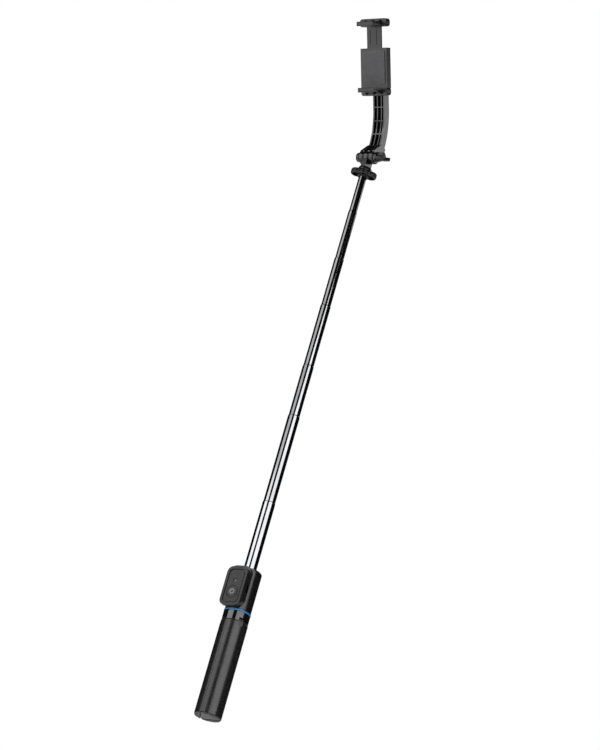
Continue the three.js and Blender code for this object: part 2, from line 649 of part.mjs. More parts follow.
function remoteFrontShape() {
  const front = -REMOTE_FRONT - BEYOND;
  const panelFace = -(REMOTE_FRONT - PANEL_DEPTH);
  const bevelled = slab(
    remoteOutline(0, REMOTE_CORNER), -REMOTE_FRONT, -REMOTE_SPLIT + REMOTE_BEVEL, "Y", CORNER_FACETS,
    REMOTE_BEVEL);
  const square = block([-REMOTE_WIDTH, front, 0], [REMOTE_WIDTH, -REMOTE_SPLIT, HOUSING_TOP * 2]);
  const panel = slab(
    remoteOutline(PANEL_INSET, REMOTE_CORNER - PANEL_INSET / 2), front, panelFace, "Y", HIDDEN_FACETS);
  const hollow = slab(
    remoteOutline(REMOTE_WALL, REMOTE_CORNER - REMOTE_WALL),
    panelFace + REMOTE_WALL, -REMOTE_SPLIT + BEYOND, "Y", HIDDEN_FACETS);
  const buttonAt = [0, REMOTE_CENTRE - BUTTON_BELOW_CENTRE];
  const button = rod("Y", BUTTON_RADIUS + BUTTON_GAP, front, 0, buttonAt, ROUND_SEGMENTS);
  const lens = rod("Y", LENS_RADIUS + RUNNING, front, 0, [0, REMOTE_CENTRE + LENS_ABOVE_CENTRE]);
  return cut(bevelled.intersect(square), panel, hollow, button, lens);
}

function remoteBackShape() {
  const body = slab(
    backOutline(), -(REMOTE_BACK + REMOTE_BACK_DEPTH), -REMOTE_BACK, "Y", HIDDEN_FACETS, REMOTE_BACK_EDGE);
  const hollow = slab(
    backOutline(-REMOTE_WALL), -REMOTE_SPLIT - BEYOND, -(REMOTE_BACK + REMOTE_WALL), "Y", HIDDEN_FACETS);
  return cut(body, hollow);
}

function boardShape() {
  const inset = REMOTE_WALL + BOARD_MARGIN;
  const outline = remoteOutline(inset, REMOTE_CORNER - inset);
  return slab(outline, -BOARD_FRONT, -(BOARD_FRONT - BOARD_THICKNESS), "Y", HIDDEN_FACETS);
}

function buttonShape() {
  const flangeBack = BUTTON_FLANGE_FRONT - BUTTON_FLANGE_HEIGHT;
  const face = REMOTE_FRONT + BUTTON_PROUD;
  const profile = [
    [0, -face],
    [BUTTON_RADIUS - 2 * BUTTON_EDGE, -face + SEAT],
    [BUTTON_RADIUS, -face + BUTTON_EDGE],
    [BUTTON_RADIUS, -BUTTON_FLANGE_FRONT],
    [BUTTON_RADIUS + BUTTON_FLANGE, -BUTTON_FLANGE_FRONT],
    [BUTTON_RADIUS + BUTTON_FLANGE, -flangeBack],
    [0, -flangeBack],
  ];
  return turned(profile).rotate([-90, 0, 0]).translate(0, 0, REMOTE_CENTRE - BUTTON_BELOW_CENTRE);
}

function addRemote(group) {
  const remote = new THREE.Group();
  const boardBack = BOARD_FRONT - BOARD_THICKNESS;
  addPart(remote, "remote_front", remoteFrontShape(), MATERIALS.satin);
  addPart(remote, "remote_back", remoteBackShape(), MATERIALS.satin);
  addPart(remote, "shutter_button", buttonShape(), MATERIALS.panel);
  const lensFront = REMOTE_FRONT - PANEL_DEPTH;
  const lensAt = [0, REMOTE_CENTRE + LENS_ABOVE_CENTRE];
  addPart(
    remote, "indicator_lens",
    rod("Y", LENS_RADIUS, -lensFront - SEAT, -(lensFront - LENS_DEPTH), lensAt),
    MATERIALS.lens);
  addPart(remote, "circuit_board", boardShape(), MATERIALS.board);
  const cellFront = boardBack - SEAT;
  addPart(
    remote, "coin_cell",
    rod("Y", CELL_RADIUS, -cellFront, -(cellFront - CELL_HEIGHT), [0, REMOTE_CENTRE], ROUND_SEGMENTS),
    MATERIALS.steel);
  group.add(remote);
}

// ---- Telescopic pole ----------------------------------------------------------------------------

// Height of a section's top: the housing's top plus all that shows of it and of the sections below.
function sectionTop(section) {
  return SECTION_SHOWN.slice(section - 1).reduce((sum, shown) => sum + shown, HOUSING_TOP);
}

function addPole(group) {
  for (let section = SECTION_COUNT; section >= 1; section--) {
    const top = sectionTop(section);
    const bottom = top - TUBE_LENGTH;
    const outer = tubeRadius(section);
    const inner = outer - TUBE_WALL;
    const bushTop = bottom + BUSH_HEIGHT;
    addPart(group, `tube_${section}`, ring(inner, outer, bushTop + SEAT / 2, top), MATERIALS.pole);
    addPart(group, `tube_bush_${section}`, ring(inner, outer, bottom, bushTop), MATERIALS.nylon);
  }
  const top = sectionTop(1);
  const plug = TOP_TUBE_RADIUS - TUBE_WALL - RUNNING;
  const ferrule = join(
    disc(plug, top - FERRULE_PLUG, top + FERRULE_HEIGHT / 2),
    disc(FERRULE_RADIUS, top + SEAT, top + FERRULE_HEIGHT),
    disc(STUD_RADIUS, top + FERRULE_HEIGHT / 2, top + FERRULE_HEIGHT + STUD_HEIGHT),
  );
  addPart(group, "pole_ferrule", ferrule, MATERIALS.steel);
}

// ---- Pan nut, swivel head and tilt hinge --------------------------------------------------------

// A two-lobed thumb nut, its lobes hollow from below.
function panNutShape(low) {
  const high = low + NUT_HEIGHT;
  const lobe = (out) => slab(circle(NUT_LOBE_RADIUS, out, 0), low, high, "Z", LOBE_FACETS, NUT_LOBE_EDGE);
  const waistLow = low + NUT_WAIST_STEP;
  const waistHigh = high - NUT_WAIST_STEP / 2;
  const waist = slab(circle(NUT_WAIST_RADIUS), waistLow, waistHigh, "Z", LOBE_FACETS, NUT_WAIST_EDGE);
  const recess = (out) => {
    const pocket = disc(NUT_RECESS_RADIUS, low - BEYOND, low + NUT_RECESS_DEPTH, NUT_RECESS_FACETS);
    const boss = disc(STUD_RADIUS + NUT_BOSS_WALL, low - BEYOND, high, NUT_RECESS_FACETS);
    return cut(pocket.translate(out, 0, 0), boss);
  };
  const nut = cut(
    join(lobe(-NUT_LOBE_OUT), lobe(NUT_LOBE_OUT), waist),
    recess(-NUT_LOBE_OUT),
    recess(NUT_LOBE_OUT),
    disc(STUD_RADIUS + RUNNING, low - BEYOND, high + BEYOND),
  );
  return nut.rotate([0, 0, NUT_ANGLE]);
}

// Below, heights are measured from the tilt axis.
function swivelShape() {
  const low = -HINGE_HEIGHT;
  const half = TONGUE_WIDTH / 2;
  const foot = turned([
    [0, low],
    [SWIVEL_RADIUS, low],
    [SWIVEL_RADIUS, low + SWIVEL_HEIGHT - SWIVEL_EDGE],
    [SWIVEL_RADIUS - SWIVEL_EDGE, low + SWIVEL_HEIGHT],
    [0, low + SWIVEL_HEIGHT],
  ]);
  return cut(
    join(
      foot,
      block([-half, -NECK_HALF, low + SWIVEL_HEIGHT / 2], [half, NECK_HALF, 0]),
      rod("X", BARREL_RADIUS, -half, half, [0, 0], ROUND_SEGMENTS),
    ),
    disc(STUD_RADIUS + RUNNING, low - BEYOND, low + STUD_HEIGHT - NUT_HEIGHT - SLIP),
    rod("X", turningBore(BOLT_RADIUS), -half - BEYOND, half + BEYOND, [0, 0]),
  );
}

function knobShape() {
  const low = PRONG_OUTER + WASHER_THICKNESS + 2 * SEAT;
  const hub = turned([
    [0, low],
    [KNOB_HUB_RADIUS, low],
    [KNOB_HUB_RADIUS, low + KNOB_COLLAR],
    [KNOB_TIP_RADIUS, low + KNOB_LENGTH - KNOB_EDGE],
    [KNOB_TIP_RADIUS - KNOB_EDGE, low + KNOB_LENGTH],
    [0, low + KNOB_LENGTH],
  ], SMALL_SEGMENTS);
  const half = KNOB_WING_WIDTH / 2;
  const root = low + KNOB_COLLAR / 2;
  const end = low + KNOB_WING_OUT;
  const inward = KNOB_WING_REACH - KNOB_WING_CORNER;
  const wing = new THREE.Shape();
  wing.moveTo(0, root);
  wing.lineTo(KNOB_HUB_RADIUS - KNOB_EDGE / 2, root);
  wing.quadraticCurveTo(
    KNOB_WING_REACH - KNOB_EDGE, low + KNOB_HUB_RADIUS, KNOB_WING_REACH, end - KNOB_WING_CORNER);
  wing.quadraticCurveTo(KNOB_WING_REACH, end, inward, end);
  wing.quadraticCurveTo(KNOB_TIP_RADIUS, low + KNOB_LENGTH - KNOB_EDGE, 0, low + KNOB_LENGTH - KNOB_COLLAR);
  wing.closePath();
  const wingUp = slab(wing, -half, half, "Z", CORNER_FACETS, KNOB_WING_EDGE);
  const wings = join(wingUp, wingUp.rotate([0, 180, 0]));
  const upright = wings.rotate([90, 0, 0]);
  const bore = disc(turningBore(BOLT_RADIUS), low - BEYOND, low + BOLT_IN_KNOB + BEYOND, SMALL_SEGMENTS);
  const whole = cut(join(hub, upright), bore);
  return whole.rotate([0, 90, 0]).rotate([KNOB_ANGLE, 0, 0]);
}

function addHinge(group) {
  addPart(group, "swivel_head", swivelShape(), MATERIALS.gloss);
  const washerLow = PRONG_OUTER + SEAT;
  const washerHigh = washerLow + WASHER_THICKNESS;
  const capLow = washerHigh + SEAT;
  const boltHoleRadius = BOLT_RADIUS + RUNNING;
  const washer = cut(
    rod("X", WASHER_RADIUS, washerLow, washerHigh, [0, 0], ROUND_SEGMENTS),
    rod("X", boltHoleRadius, 0, washerHigh + BEYOND, [0, 0]),
  );
  addPart(group, "tilt_washer_knob", washer, MATERIALS.steel);
  addPart(group, "tilt_washer_cap", washer.mirror([1, 0, 0]), MATERIALS.steel);
  const capMiddle = capLow + CAP_NUT_HEIGHT / 2;
  const capEnd = capLow + CAP_NUT_HEIGHT;
  const bolt = rod("X", BOLT_RADIUS, -(capMiddle - SEAT), capLow + BOLT_IN_KNOB, [0, 0]);
  addPart(group, "tilt_bolt", bolt, MATERIALS.steel);
  const cap = turned([
    [0, -capEnd],
    [CAP_NUT_RADIUS - CAP_NUT_EDGE, -capEnd],
    [CAP_NUT_RADIUS, -(capEnd - CAP_NUT_EDGE)],
    [CAP_NUT_RADIUS, -capLow],
    [boltHoleRadius, -capLow],
    [boltHoleRadius, -capMiddle],
    [0, -capMiddle],
  ], SMALL_SEGMENTS);
  addPart(group, "tilt_cap_nut", cap.rotate([0, 90, 0]), MATERIALS.gloss);
  addPart(group, "tilt_knob", knobShape(), MATERIALS.satin);
}

// ---- Curved arm ---------------------------------------------------------------------------------

// The arm's centreline in the (y, z) plane runs up from a low end, round the bend and along the clamp's
// lean. A band is the strip between two offsets from it, positive towards the back.
const BEND_CENTRE = [ARM_BEHIND - ARM_BEND_RADIUS, ARM_BEND_START];
const TILT = CLAMP_TILT * RADIANS;
const PRONG_LEAN = 42 * RADIANS;

function armPoint(offset, angle, along = 0) {
  const radius = ARM_BEND_RADIUS + offset;
  return [
    BEND_CENTRE[0] + radius * Math.cos(angle) - along * Math.sin(angle),
    BEND_CENTRE[1] + radius * Math.sin(angle) + along * Math.cos(angle),
  ];
}

function armBand(front, back, low, straight) {
  const shape = new THREE.Shape();
  const [centreY, centreZ] = BEND_CENTRE;
  shape.moveTo(centreY + ARM_BEND_RADIUS + back, low);
  shape.lineTo(centreY + ARM_BEND_RADIUS + back, centreZ);
  shape.absarc(centreY, centreZ, ARM_BEND_RADIUS + back, 0, TILT, false);
  shape.lineTo(...armPoint(back, TILT, straight));
  shape.lineTo(...armPoint(front, TILT, straight));
  shape.absarc(centreY, centreZ, ARM_BEND_RADIUS + front, TILT, 0, true);
  shape.lineTo(centreY + ARM_BEND_RADIUS + front, low);
  shape.closePath();
  return shape;
}

// One thin rib across the channel, at a length along the centreline from the start of the bend.
function crossRib(length) {
  const halfDepth = ARM_DEPTH / 2;
  const bendLength = ARM_BEND_RADIUS * TILT;
  const angle = Math.min(length / ARM_BEND_RADIUS, TILT);
  const along = Math.max(0, length - bendLength);
  const half = ARM_RIB_WIDTH / 2;
  const corners = [
    armPoint(halfDepth - ARM_WALL / 2, angle, along - half),
    armPoint(halfDepth - ARM_WALL / 2, angle, along + half),
    armPoint(-halfDepth + ARM_CROSS_SETBACK, angle, along + half),
    armPoint(-halfDepth + ARM_CROSS_SETBACK, angle, along - half),
  ];
  const reach = (ARM_WIDTH - ARM_WALL) / 2;
  return slab(polygon(corners), -reach, reach, "X");
}

function prongShape(side) {
  const inner = TONGUE_WIDTH / 2 + SLIP;
  const low = side > 0 ? inner : -PRONG_OUTER;
  const high = side > 0 ? PRONG_OUTER : -inner;
  const front = ARM_BEHIND - ARM_DEPTH / 2;
  const back = ARM_BEHIND + ARM_DEPTH / 2;
  // The web leaves the barrel on both sides of its diameter and runs up into the fork block.
  const outline = polygon([
    [-BARREL_RADIUS * Math.cos(PRONG_LEAN), BARREL_RADIUS * Math.sin(PRONG_LEAN)],
    [BARREL_RADIUS * Math.SQRT1_2, -BARREL_RADIUS * Math.SQRT1_2],
    [back, ARM_BEND_START - FORK_BLOCK - PRONG_HEEL],
    [back, ARM_BEND_START + FORK_OVERLAP],
    [front, ARM_BEND_START + FORK_OVERLAP],
  ]);
  return join(
    slab(outline, low, high, "X"),
    rod("X", BARREL_RADIUS, low, high, [0, 0], ROUND_SEGMENTS),
  );
}

function armShape() {
  const half = ARM_WIDTH / 2;
  const depth = ARM_DEPTH / 2;
  const low = ARM_BEND_START - FORK_BLOCK;
  const wholeBand = armBand(-depth, depth, low, ARM_STRAIGHT);
  const backBand = armBand(depth - ARM_WALL, depth, low, ARM_STRAIGHT);
  const ribBand = armBand(-depth + ARM_RIB_SETBACK, depth - ARM_WALL / 2, low, ARM_STRAIGHT);
  const forkBlock = block(
    [-PRONG_OUTER, ARM_BEHIND - depth, low],
    [PRONG_OUTER, ARM_BEHIND + depth, ARM_BEND_START + FORK_OVERLAP],
  );
  const bossCentre = armPoint(0, TILT, ARM_STRAIGHT);
  const boss = rod("Y", half, -depth, depth, [0, 0], ROUND_SEGMENTS)
    .rotate([CLAMP_TILT, 0, 0])
    .translate(0, bossCentre[0], bossCentre[1]);
  let arm = join(
    slab(backBand, -half, half, "X"),
    slab(wholeBand, -half, -half + ARM_WALL, "X"),
    slab(wholeBand, half - ARM_WALL, half, "X"),
    slab(ribBand, -ARM_RIB_OUT - ARM_RIB_WIDTH / 2, -ARM_RIB_OUT + ARM_RIB_WIDTH / 2, "X"),
    slab(ribBand, ARM_RIB_OUT - ARM_RIB_WIDTH / 2, ARM_RIB_OUT + ARM_RIB_WIDTH / 2, "X"),
    forkBlock,
    prongShape(1),
    prongShape(-1),
    boss,
  );
  const spacing = (ARM_BEND_RADIUS * TILT + ARM_STRAIGHT - half) / (ARM_CROSS_RIBS + 1);
  for (let i = 1; i <= ARM_CROSS_RIBS; i++) arm = join(arm, crossRib(i * spacing));
  const pivotBore = rod("Y", turningBore(PIVOT_RADIUS), -ARM_DEPTH, ARM_DEPTH, [0, 0])
    .rotate([CLAMP_TILT, 0, 0])
    .translate(0, bossCentre[0], bossCentre[1]);
  const tiltBore = rod("X", BOLT_RADIUS + RUNNING, -ARM_WIDTH, ARM_WIDTH, [0, 0]);
  return cut(arm, pivotBore, tiltBore);
}

// ---- Phone clamp --------------------------------------------------------------------------------

// In the clamp's frame y = 0 is the front face of its body and the arm lies behind.
const LIP_FRONT = -HOOK_REACH;
const LIP_BACK = LIP_FRONT + LIP_THICKNESS;
const HOOK_TOP = JAW_HALF_HEIGHT - HOOK_DROP;
const HOOK_UNDER = HOOK_TOP - HOOK_THICKNESS;

// The body block and hook of the upper jaw. The lower one is its mirror image.
function jawShape() {
  const hookHalf = HOOK_WIDTH / 2;
  const body = slab(
    roundedOutline(CLAMP_WIDTH, JAW_HEIGHT, JAW_EDGE * 2, JAW_HALF_HEIGHT - JAW_HEIGHT / 2),
    0, CLAMP_DEPTH, "Y", HIDDEN_FACETS, JAW_BEVEL);
  const edge = HOOK_EDGE;
  const hook = new THREE.Shape();
  hook.moveTo(1, HOOK_UNDER);
  hook.lineTo(1, HOOK_TOP);
  hook.lineTo(LIP_FRONT + edge, HOOK_TOP);
  hook.quadraticCurveTo(LIP_FRONT, HOOK_TOP, LIP_FRONT, HOOK_TOP - edge);
  hook.lineTo(LIP_FRONT, HOOK_TOP - LIP_HEIGHT + edge);
  hook.quadraticCurveTo(LIP_FRONT, HOOK_TOP - LIP_HEIGHT, LIP_FRONT + edge, HOOK_TOP - LIP_HEIGHT);
  hook.lineTo(LIP_BACK, HOOK_TOP - LIP_HEIGHT);
  hook.lineTo(LIP_BACK, HOOK_UNDER);
  hook.closePath();
  const gusset = polygon([
    [ROOT, HOOK_TOP - edge],
    [ROOT, JAW_HALF_HEIGHT - edge],
    [-GUSSET_REACH, HOOK_TOP - SEAT],
  ]);
  return join(
    body,
    slab(hook, -hookHalf, hookHalf, "X", CORNER_FACETS),
    slab(gusset, -hookHalf, -hookHalf + GUSSET_WIDTH, "X"),
    slab(gusset, hookHalf - GUSSET_WIDTH, hookHalf, "X"),
    slab(gusset, -GUSSET_WIDTH / 2, GUSSET_WIDTH / 2, "X"),
  );
}

function hookPadShape() {
  const half = HOOK_WIDTH / 2 - PAD_MARGIN;
  const high = HOOK_UNDER - SLIP;
  return block([-half, LIP_BACK + PAD_MARGIN, high - PAD_THICKNESS], [half, -SLIP, high]);
}

function baseShape() {
  const half = CLAMP_WIDTH / 2;
  const jaw = jawShape().mirror([0, 0, 1]);
  const low = -JAW_INNER;
  const channelFront = CLAMP_WALL;
  const body = block([-half, 0, low - ROOT], [half, CLAMP_DEPTH, BASE_TOP]);
  const channel = block(
    [-half + CLAMP_WALL, channelFront, low],
    [half - CLAMP_WALL, CLAMP_DEPTH + BEYOND, BASE_TOP + BEYOND],
  );
  const postBack = CLAMP_DEPTH - COVER_THICKNESS - SEAT;
  const guideInner = SLIDER_WIDTH / 2 + SLIP;
  const inside = [-1, 1].map((side) => {
    const x = [side * guideInner, side * (guideInner + GUIDE_WIDTH)].sort((a, b) => a - b);
    return join(
      block([x[0], channelFront - ROOT, low - ROOT], [x[1], postBack, BASE_TOP]),
      rod("Y", COVER_POST_RADIUS, channelFront - ROOT, postBack, [side * COVER_SCREW_X, -COVER_SCREW_Z]),
      block(
        [side * SPRING_OUT - SPRING_RADIUS, SPRING_MIDDLE - SPRING_RADIUS, low - ROOT],
        [side * SPRING_OUT + SPRING_RADIUS, postBack, low + SPRING_TAB],
      ),
    );
  });
  const holes = [-1, 1].map((side) => {
    const at = [side * COVER_SCREW_X, -COVER_SCREW_Z];
    return rod("Y", SCREW_RADIUS + RUNNING, channelFront + BEYOND, CLAMP_DEPTH + BEYOND, at);
  });
  return cut(join(cut(body, channel), jaw, ...inside), ...holes);
}

function upperJawShape() {
  const half = SLIDER_WIDTH / 2;
  const front = CLAMP_WALL + SLIP;
  const back = front + SLIDER_THICKNESS;
  const slider = block([-half, front, SLIDER_BOTTOM], [half, back, JAW_INNER + ROOT]);
  const peg = (side) => {
    const at = [side * SPRING_OUT, SPRING_TOP + SPRING_PEG_ABOVE];
    return rod("Y", SPRING_PEG_RADIUS, back - ROOT, SPRING_MIDDLE + SPRING_RADIUS, at);
  };
  return join(jawShape(), slider, peg(-1), peg(1));
}

function coverShape() {
  const half = CLAMP_WIDTH / 2 - CLAMP_WALL - SLIP;
  const front = CLAMP_DEPTH - COVER_THICKNESS;
  const low = -JAW_INNER + SLIP;
  const plate = block([-half, front, low], [half, CLAMP_DEPTH, BASE_TOP]);
  const screwHoles = [-1, 1].map((side) => {
    const at = [side * COVER_SCREW_X, -COVER_SCREW_Z];
    return join(
      rod("Y", SCREW_RADIUS + RUNNING, front - BEYOND, CLAMP_DEPTH + BEYOND, at),
      rod("Y", SCREW_HEAD_RADIUS + RUNNING, CLAMP_DEPTH - SCREW_HEAD_HEIGHT, CLAMP_DEPTH + BEYOND, at),
    );
  });
  const pivotHole = rod("Y", PIVOT_RADIUS + RUNNING, front - BEYOND, CLAMP_DEPTH + BEYOND, [0, 0]);
  return cut(plate, pivotHole, ...screwHoles);
}

function coverScrewShape(side) {
  const at = [side * COVER_SCREW_X, -COVER_SCREW_Z];
  const head = CLAMP_DEPTH - SCREW_HEAD_HEIGHT + SEAT;
  return cut(
    join(
      rod("Y", SCREW_HEAD_RADIUS, head, CLAMP_DEPTH, at),
      rod("Y", SCREW_RADIUS, CLAMP_WALL + BEYOND + SEAT, head + SCREW_HEAD_HEIGHT / 4, at),
    ),
    rod(
      "Y", SCREW_DRIVE_RADIUS, CLAMP_DEPTH - SCREW_HEAD_HEIGHT / 2, CLAMP_DEPTH + BEYOND, at,
      SCREW_DRIVE_SIDES),
  );
}

class Coil extends THREE.Curve {
  getPoint(t, target = new THREE.Vector3()) {
    const angle = 2 * Math.PI * SPRING_TURNS * t;
    const height = SPRING_BOTTOM + (SPRING_TOP - SPRING_BOTTOM) * t;
    return target.set(SPRING_RADIUS * Math.cos(angle), SPRING_RADIUS * Math.sin(angle), height);
  }
}

function springShape(side) {
  const wire = new THREE.ExtrudeGeometry(circle(SPRING_WIRE), {
    steps: SPRING_TURNS * SPRING_TURN_FACETS,
    curveSegments: HIDDEN_FACETS,
    extrudePath: new Coil(),
    bevelEnabled: false,
  });
  return solid(wire).translate(side * SPRING_OUT, SPRING_MIDDLE, 0);
}

function pivotScrewShape() {
  const back = CLAMP_DEPTH + CLAMP_TO_ARM + ARM_DEPTH + SLIP;
  const headTop = back + PIVOT_HEAD_HEIGHT;
  const shankEnd = CLAMP_WALL + SLIP + SLIDER_THICKNESS + SLIP;
  const head = turned([
    [0, back],
    [PIVOT_HEAD_RADIUS, back],
    [PIVOT_HEAD_RADIUS, headTop - PIVOT_HEAD_EDGE],
    [PIVOT_HEAD_RADIUS - PIVOT_HEAD_EDGE, headTop],
    [0, headTop],
  ], SMALL_SEGMENTS).rotate([-90, 0, 0]);
  const slotHalf = PIVOT_SLOT_WIDTH / 2;
  const slot = block(
    [-PIVOT_HEAD_RADIUS, headTop - PIVOT_HEAD_HEIGHT / 2, -slotHalf],
    [PIVOT_HEAD_RADIUS, headTop + BEYOND, slotHalf],
  );
  return cut(join(head, rod("Y", PIVOT_RADIUS, shankEnd, back + ROOT, [0, 0])), slot);
}

function pivotNutShape() {
  const high = CLAMP_DEPTH - COVER_THICKNESS - SEAT;
  return cut(
    rod("Y", PIVOT_NUT_RADIUS, high - PIVOT_NUT_HEIGHT, high, [0, 0], PIVOT_NUT_SIDES),
    rod("Y", PIVOT_RADIUS + RUNNING, 0, CLAMP_DEPTH, [0, 0]),
  );
}

function pivotWasherShape() {
  const low = CLAMP_DEPTH + (CLAMP_TO_ARM - PIVOT_WASHER_THICKNESS) / 2;
  return cut(
    rod("Y", PIVOT_WASHER_RADIUS, low, low + PIVOT_WASHER_THICKNESS, [0, 0], ROUND_SEGMENTS),
    rod("Y", PIVOT_RADIUS + RUNNING, 0, CLAMP_DEPTH * 2, [0, 0]),
  );
}

function backPadShape() {
  const half = CLAMP_WIDTH / 2 - PAD_MARGIN * 2;
  const low = -JAW_INNER + BACK_PAD_MARGIN;
  return block([-half, -SLIP - PAD_THICKNESS, low], [half, -SLIP, BASE_TOP - BACK_PAD_MARGIN]);
}

function addClamp(group) {
  addPart(group, "clamp_base", baseShape(), MATERIALS.satin);
  addPart(group, "clamp_cover", coverShape(), MATERIALS.satin);
  addPart(group, "clamp_jaw", upperJawShape(), MATERIALS.satin);
  addPart(group, "jaw_pad_upper", hookPadShape(), MATERIALS.grey);
  addPart(group, "jaw_pad_lower", hookPadShape().mirror([0, 0, 1]), MATERIALS.grey);
  addPart(group, "back_pad", backPadShape(), MATERIALS.grey);
  addPart(group, "clamp_spring_left", springShape(-1), MATERIALS.steel);
  addPart(group, "clamp_spring_right", springShape(1), MATERIALS.steel);
  addPart(group, "pivot_screw", pivotScrewShape(), MATERIALS.steel);
  addPart(group, "pivot_nut", pivotNutShape(), MATERIALS.steel);
  addPart(group, "pivot_washer", pivotWasherShape(), MATERIALS.nylon);
  addPart(group, "cover_screw_left", coverScrewShape(-1), MATERIALS.steel);
  addPart(group, "cover_screw_right", coverScrewShape(1), MATERIALS.steel);
}

// ---- Assembly -----------------------------------------------------------------------------------

const stick = new THREE.Group();
stick.position.z = -GRIP_HEIGHT;
addHandle(stick);
addRemote(stick);
addPole(stick);

const nutLow = sectionTop(1) + FERRULE_HEIGHT + SLIP;
addPart(stick, "pan_nut", panNutShape(nutLow), MATERIALS.satin);

const head = new THREE.Group();
head.position.z = nutLow + NUT_HEIGHT + SLIP + HINGE_HEIGHT;
addHinge(head);
addPart(head, "curved_arm", armShape(), MATERIALS.gloss);
stick.add(head);

const [clampY, clampZ] = armPoint(-ARM_DEPTH / 2 - CLAMP_TO_ARM - CLAMP_DEPTH, TILT, ARM_STRAIGHT);
const clamp = new THREE.Group();
clamp.position.set(0, clampY, clampZ);
clamp.rotation.x = TILT;
addClamp(clamp);
head.add(clamp);

const assembly = new THREE.Group();
assembly.add(stick);

export default assembly;
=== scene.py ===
"""Looks of the selfie stick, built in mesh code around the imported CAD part.

Shapes are made in millimetres, with heights above the soles, and scaled to metres when a piece is finished.
X runs along the tilt axis towards the knob, -Y towards the user and +Z up the pole.
"""

import math

import bmesh
import bpy
from mathutils import Matrix, Vector


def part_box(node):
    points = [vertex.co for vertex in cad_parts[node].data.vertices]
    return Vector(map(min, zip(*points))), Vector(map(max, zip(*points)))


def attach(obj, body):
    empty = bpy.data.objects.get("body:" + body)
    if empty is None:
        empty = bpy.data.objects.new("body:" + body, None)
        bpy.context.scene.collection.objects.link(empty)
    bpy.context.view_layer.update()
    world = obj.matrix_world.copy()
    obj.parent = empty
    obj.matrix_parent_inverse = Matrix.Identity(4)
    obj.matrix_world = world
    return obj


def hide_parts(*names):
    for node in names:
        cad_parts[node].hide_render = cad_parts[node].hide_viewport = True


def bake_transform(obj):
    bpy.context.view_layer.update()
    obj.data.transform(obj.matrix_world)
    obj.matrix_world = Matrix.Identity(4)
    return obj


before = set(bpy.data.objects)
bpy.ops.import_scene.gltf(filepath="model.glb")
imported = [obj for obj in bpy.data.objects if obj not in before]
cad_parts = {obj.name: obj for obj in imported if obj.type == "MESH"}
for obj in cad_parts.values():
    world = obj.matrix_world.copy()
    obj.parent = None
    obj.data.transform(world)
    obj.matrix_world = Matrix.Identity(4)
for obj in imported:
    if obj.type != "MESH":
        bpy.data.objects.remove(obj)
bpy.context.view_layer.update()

MM = 0.001
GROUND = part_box("foot_rear")[0].z / MM


def cad(node):
    """Lowest and highest corner of a CAD node in millimetres, with heights above the soles."""
    low, high = (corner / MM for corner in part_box(node))
    low.z -= GROUND
    high.z -= GROUND
    return low, high


# ---- Sizes, in millimetres ----

FINE = 128  # facets of the hub, the ring and the housing's base
ROUND = 96  # facets of other large turned shapes
MEDIUM = 80  # facets of the pan nut, swivel, cap nut and the arm's eyes and boss
SMALL = 40  # facets of screws, pins and bosses
CREASE = math.radians(32)  # edges sharper than this stay sharp in the shading
GAP = 0.3  # between pieces that slide or turn past each other
SEAT = 0.1  # between pieces that meet face to face
FIT = 0.05  # between a piece and the bore that holds it

LEG_ANGLES = {"right": 60, "rear": 180, "left": 300}
LEG_RADIUS = cad("leg_rear")[1].y
LEG_CHORD = cad("leg_rear")[0].y
HUB_LOW, HUB_HIGH = cad("leg_hub")
HUB_RADIUS = HUB_HIGH.x
LEG_TO_HUB = 0.4
LEG_TOP = HUB_LOW.z - LEG_TO_HUB
PIN_LOW, PIN_HIGH = cad("leg_pin_rear")
PIN_OUT = (PIN_LOW.y + PIN_HIGH.y) / 2
PIN_HEIGHT = (PIN_LOW.z + PIN_HIGH.z) / 2
PIN_RADIUS = 0.8
PIN_HALF = 5
PIN_HOLE = 0.85
KNUCKLE_RADIUS = 1.7
KNUCKLE_HALF = 2.7
SLOT_HALF = KNUCKLE_HALF + GAP
FOOT_HEIGHT = 1
FOOT_INSET = 0.6
STEM_RADIUS = 1.6
STEM_LENGTH = 1.7
STEM_OUT = LEG_RADIUS - 3.8

HOUSING_LOW, HOUSING_HIGH = cad("upper_housing")
HOUSING_RADIUS = HOUSING_HIGH.y
FLAT_INSET = 2.8
HOUSING_FLAT = -HOUSING_LOW.y - FLAT_INSET
CORE_RADIUS = cad("core_tube")[1].x
CRADLE_LOW, CRADLE_HIGH = cad("remote_cradle")
REMOTE_LOW, REMOTE_HIGH = cad("remote_front")
REMOTE_CENTRE = (REMOTE_LOW.z + REMOTE_HIGH.z) / 2
REMOTE_FRONT = REMOTE_LOW.y
REMOTE_SPLIT = REMOTE_HIGH.y
REMOTE_WIDTH = REMOTE_HIGH.x - REMOTE_LOW.x
REMOTE_HEIGHT = REMOTE_HIGH.z - REMOTE_LOW.z
REMOTE_CORNER = 6.5
REMOTE_WALL = 1.2
CRADLE_FLOOR = CRADLE_HIGH.y - 2
CRADLE_SCREW_OFFSET = 13
BUTTON_LOW, BUTTON_HIGH = cad("shutter_button")
BUTTON_HEIGHT = (BUTTON_LOW.z + BUTTON_HIGH.z) / 2
BUTTON_RADIUS = 6.5
LENS_LOW, LENS_HIGH = cad("indicator_lens")
LENS_HEIGHT = (LENS_LOW.z + LENS_HIGH.z) / 2
LENS_RADIUS = 1.9
PANEL_DEPTH = 0.4

SCREW_HEAD = 1.9
SCREW_SHANK = 0.9
SCREW_HOLE = 0.95
SCREW_HEAD_HOLE = 1.95
STUD_HOLE = 3.05
BOLT_HOLE = 2.05

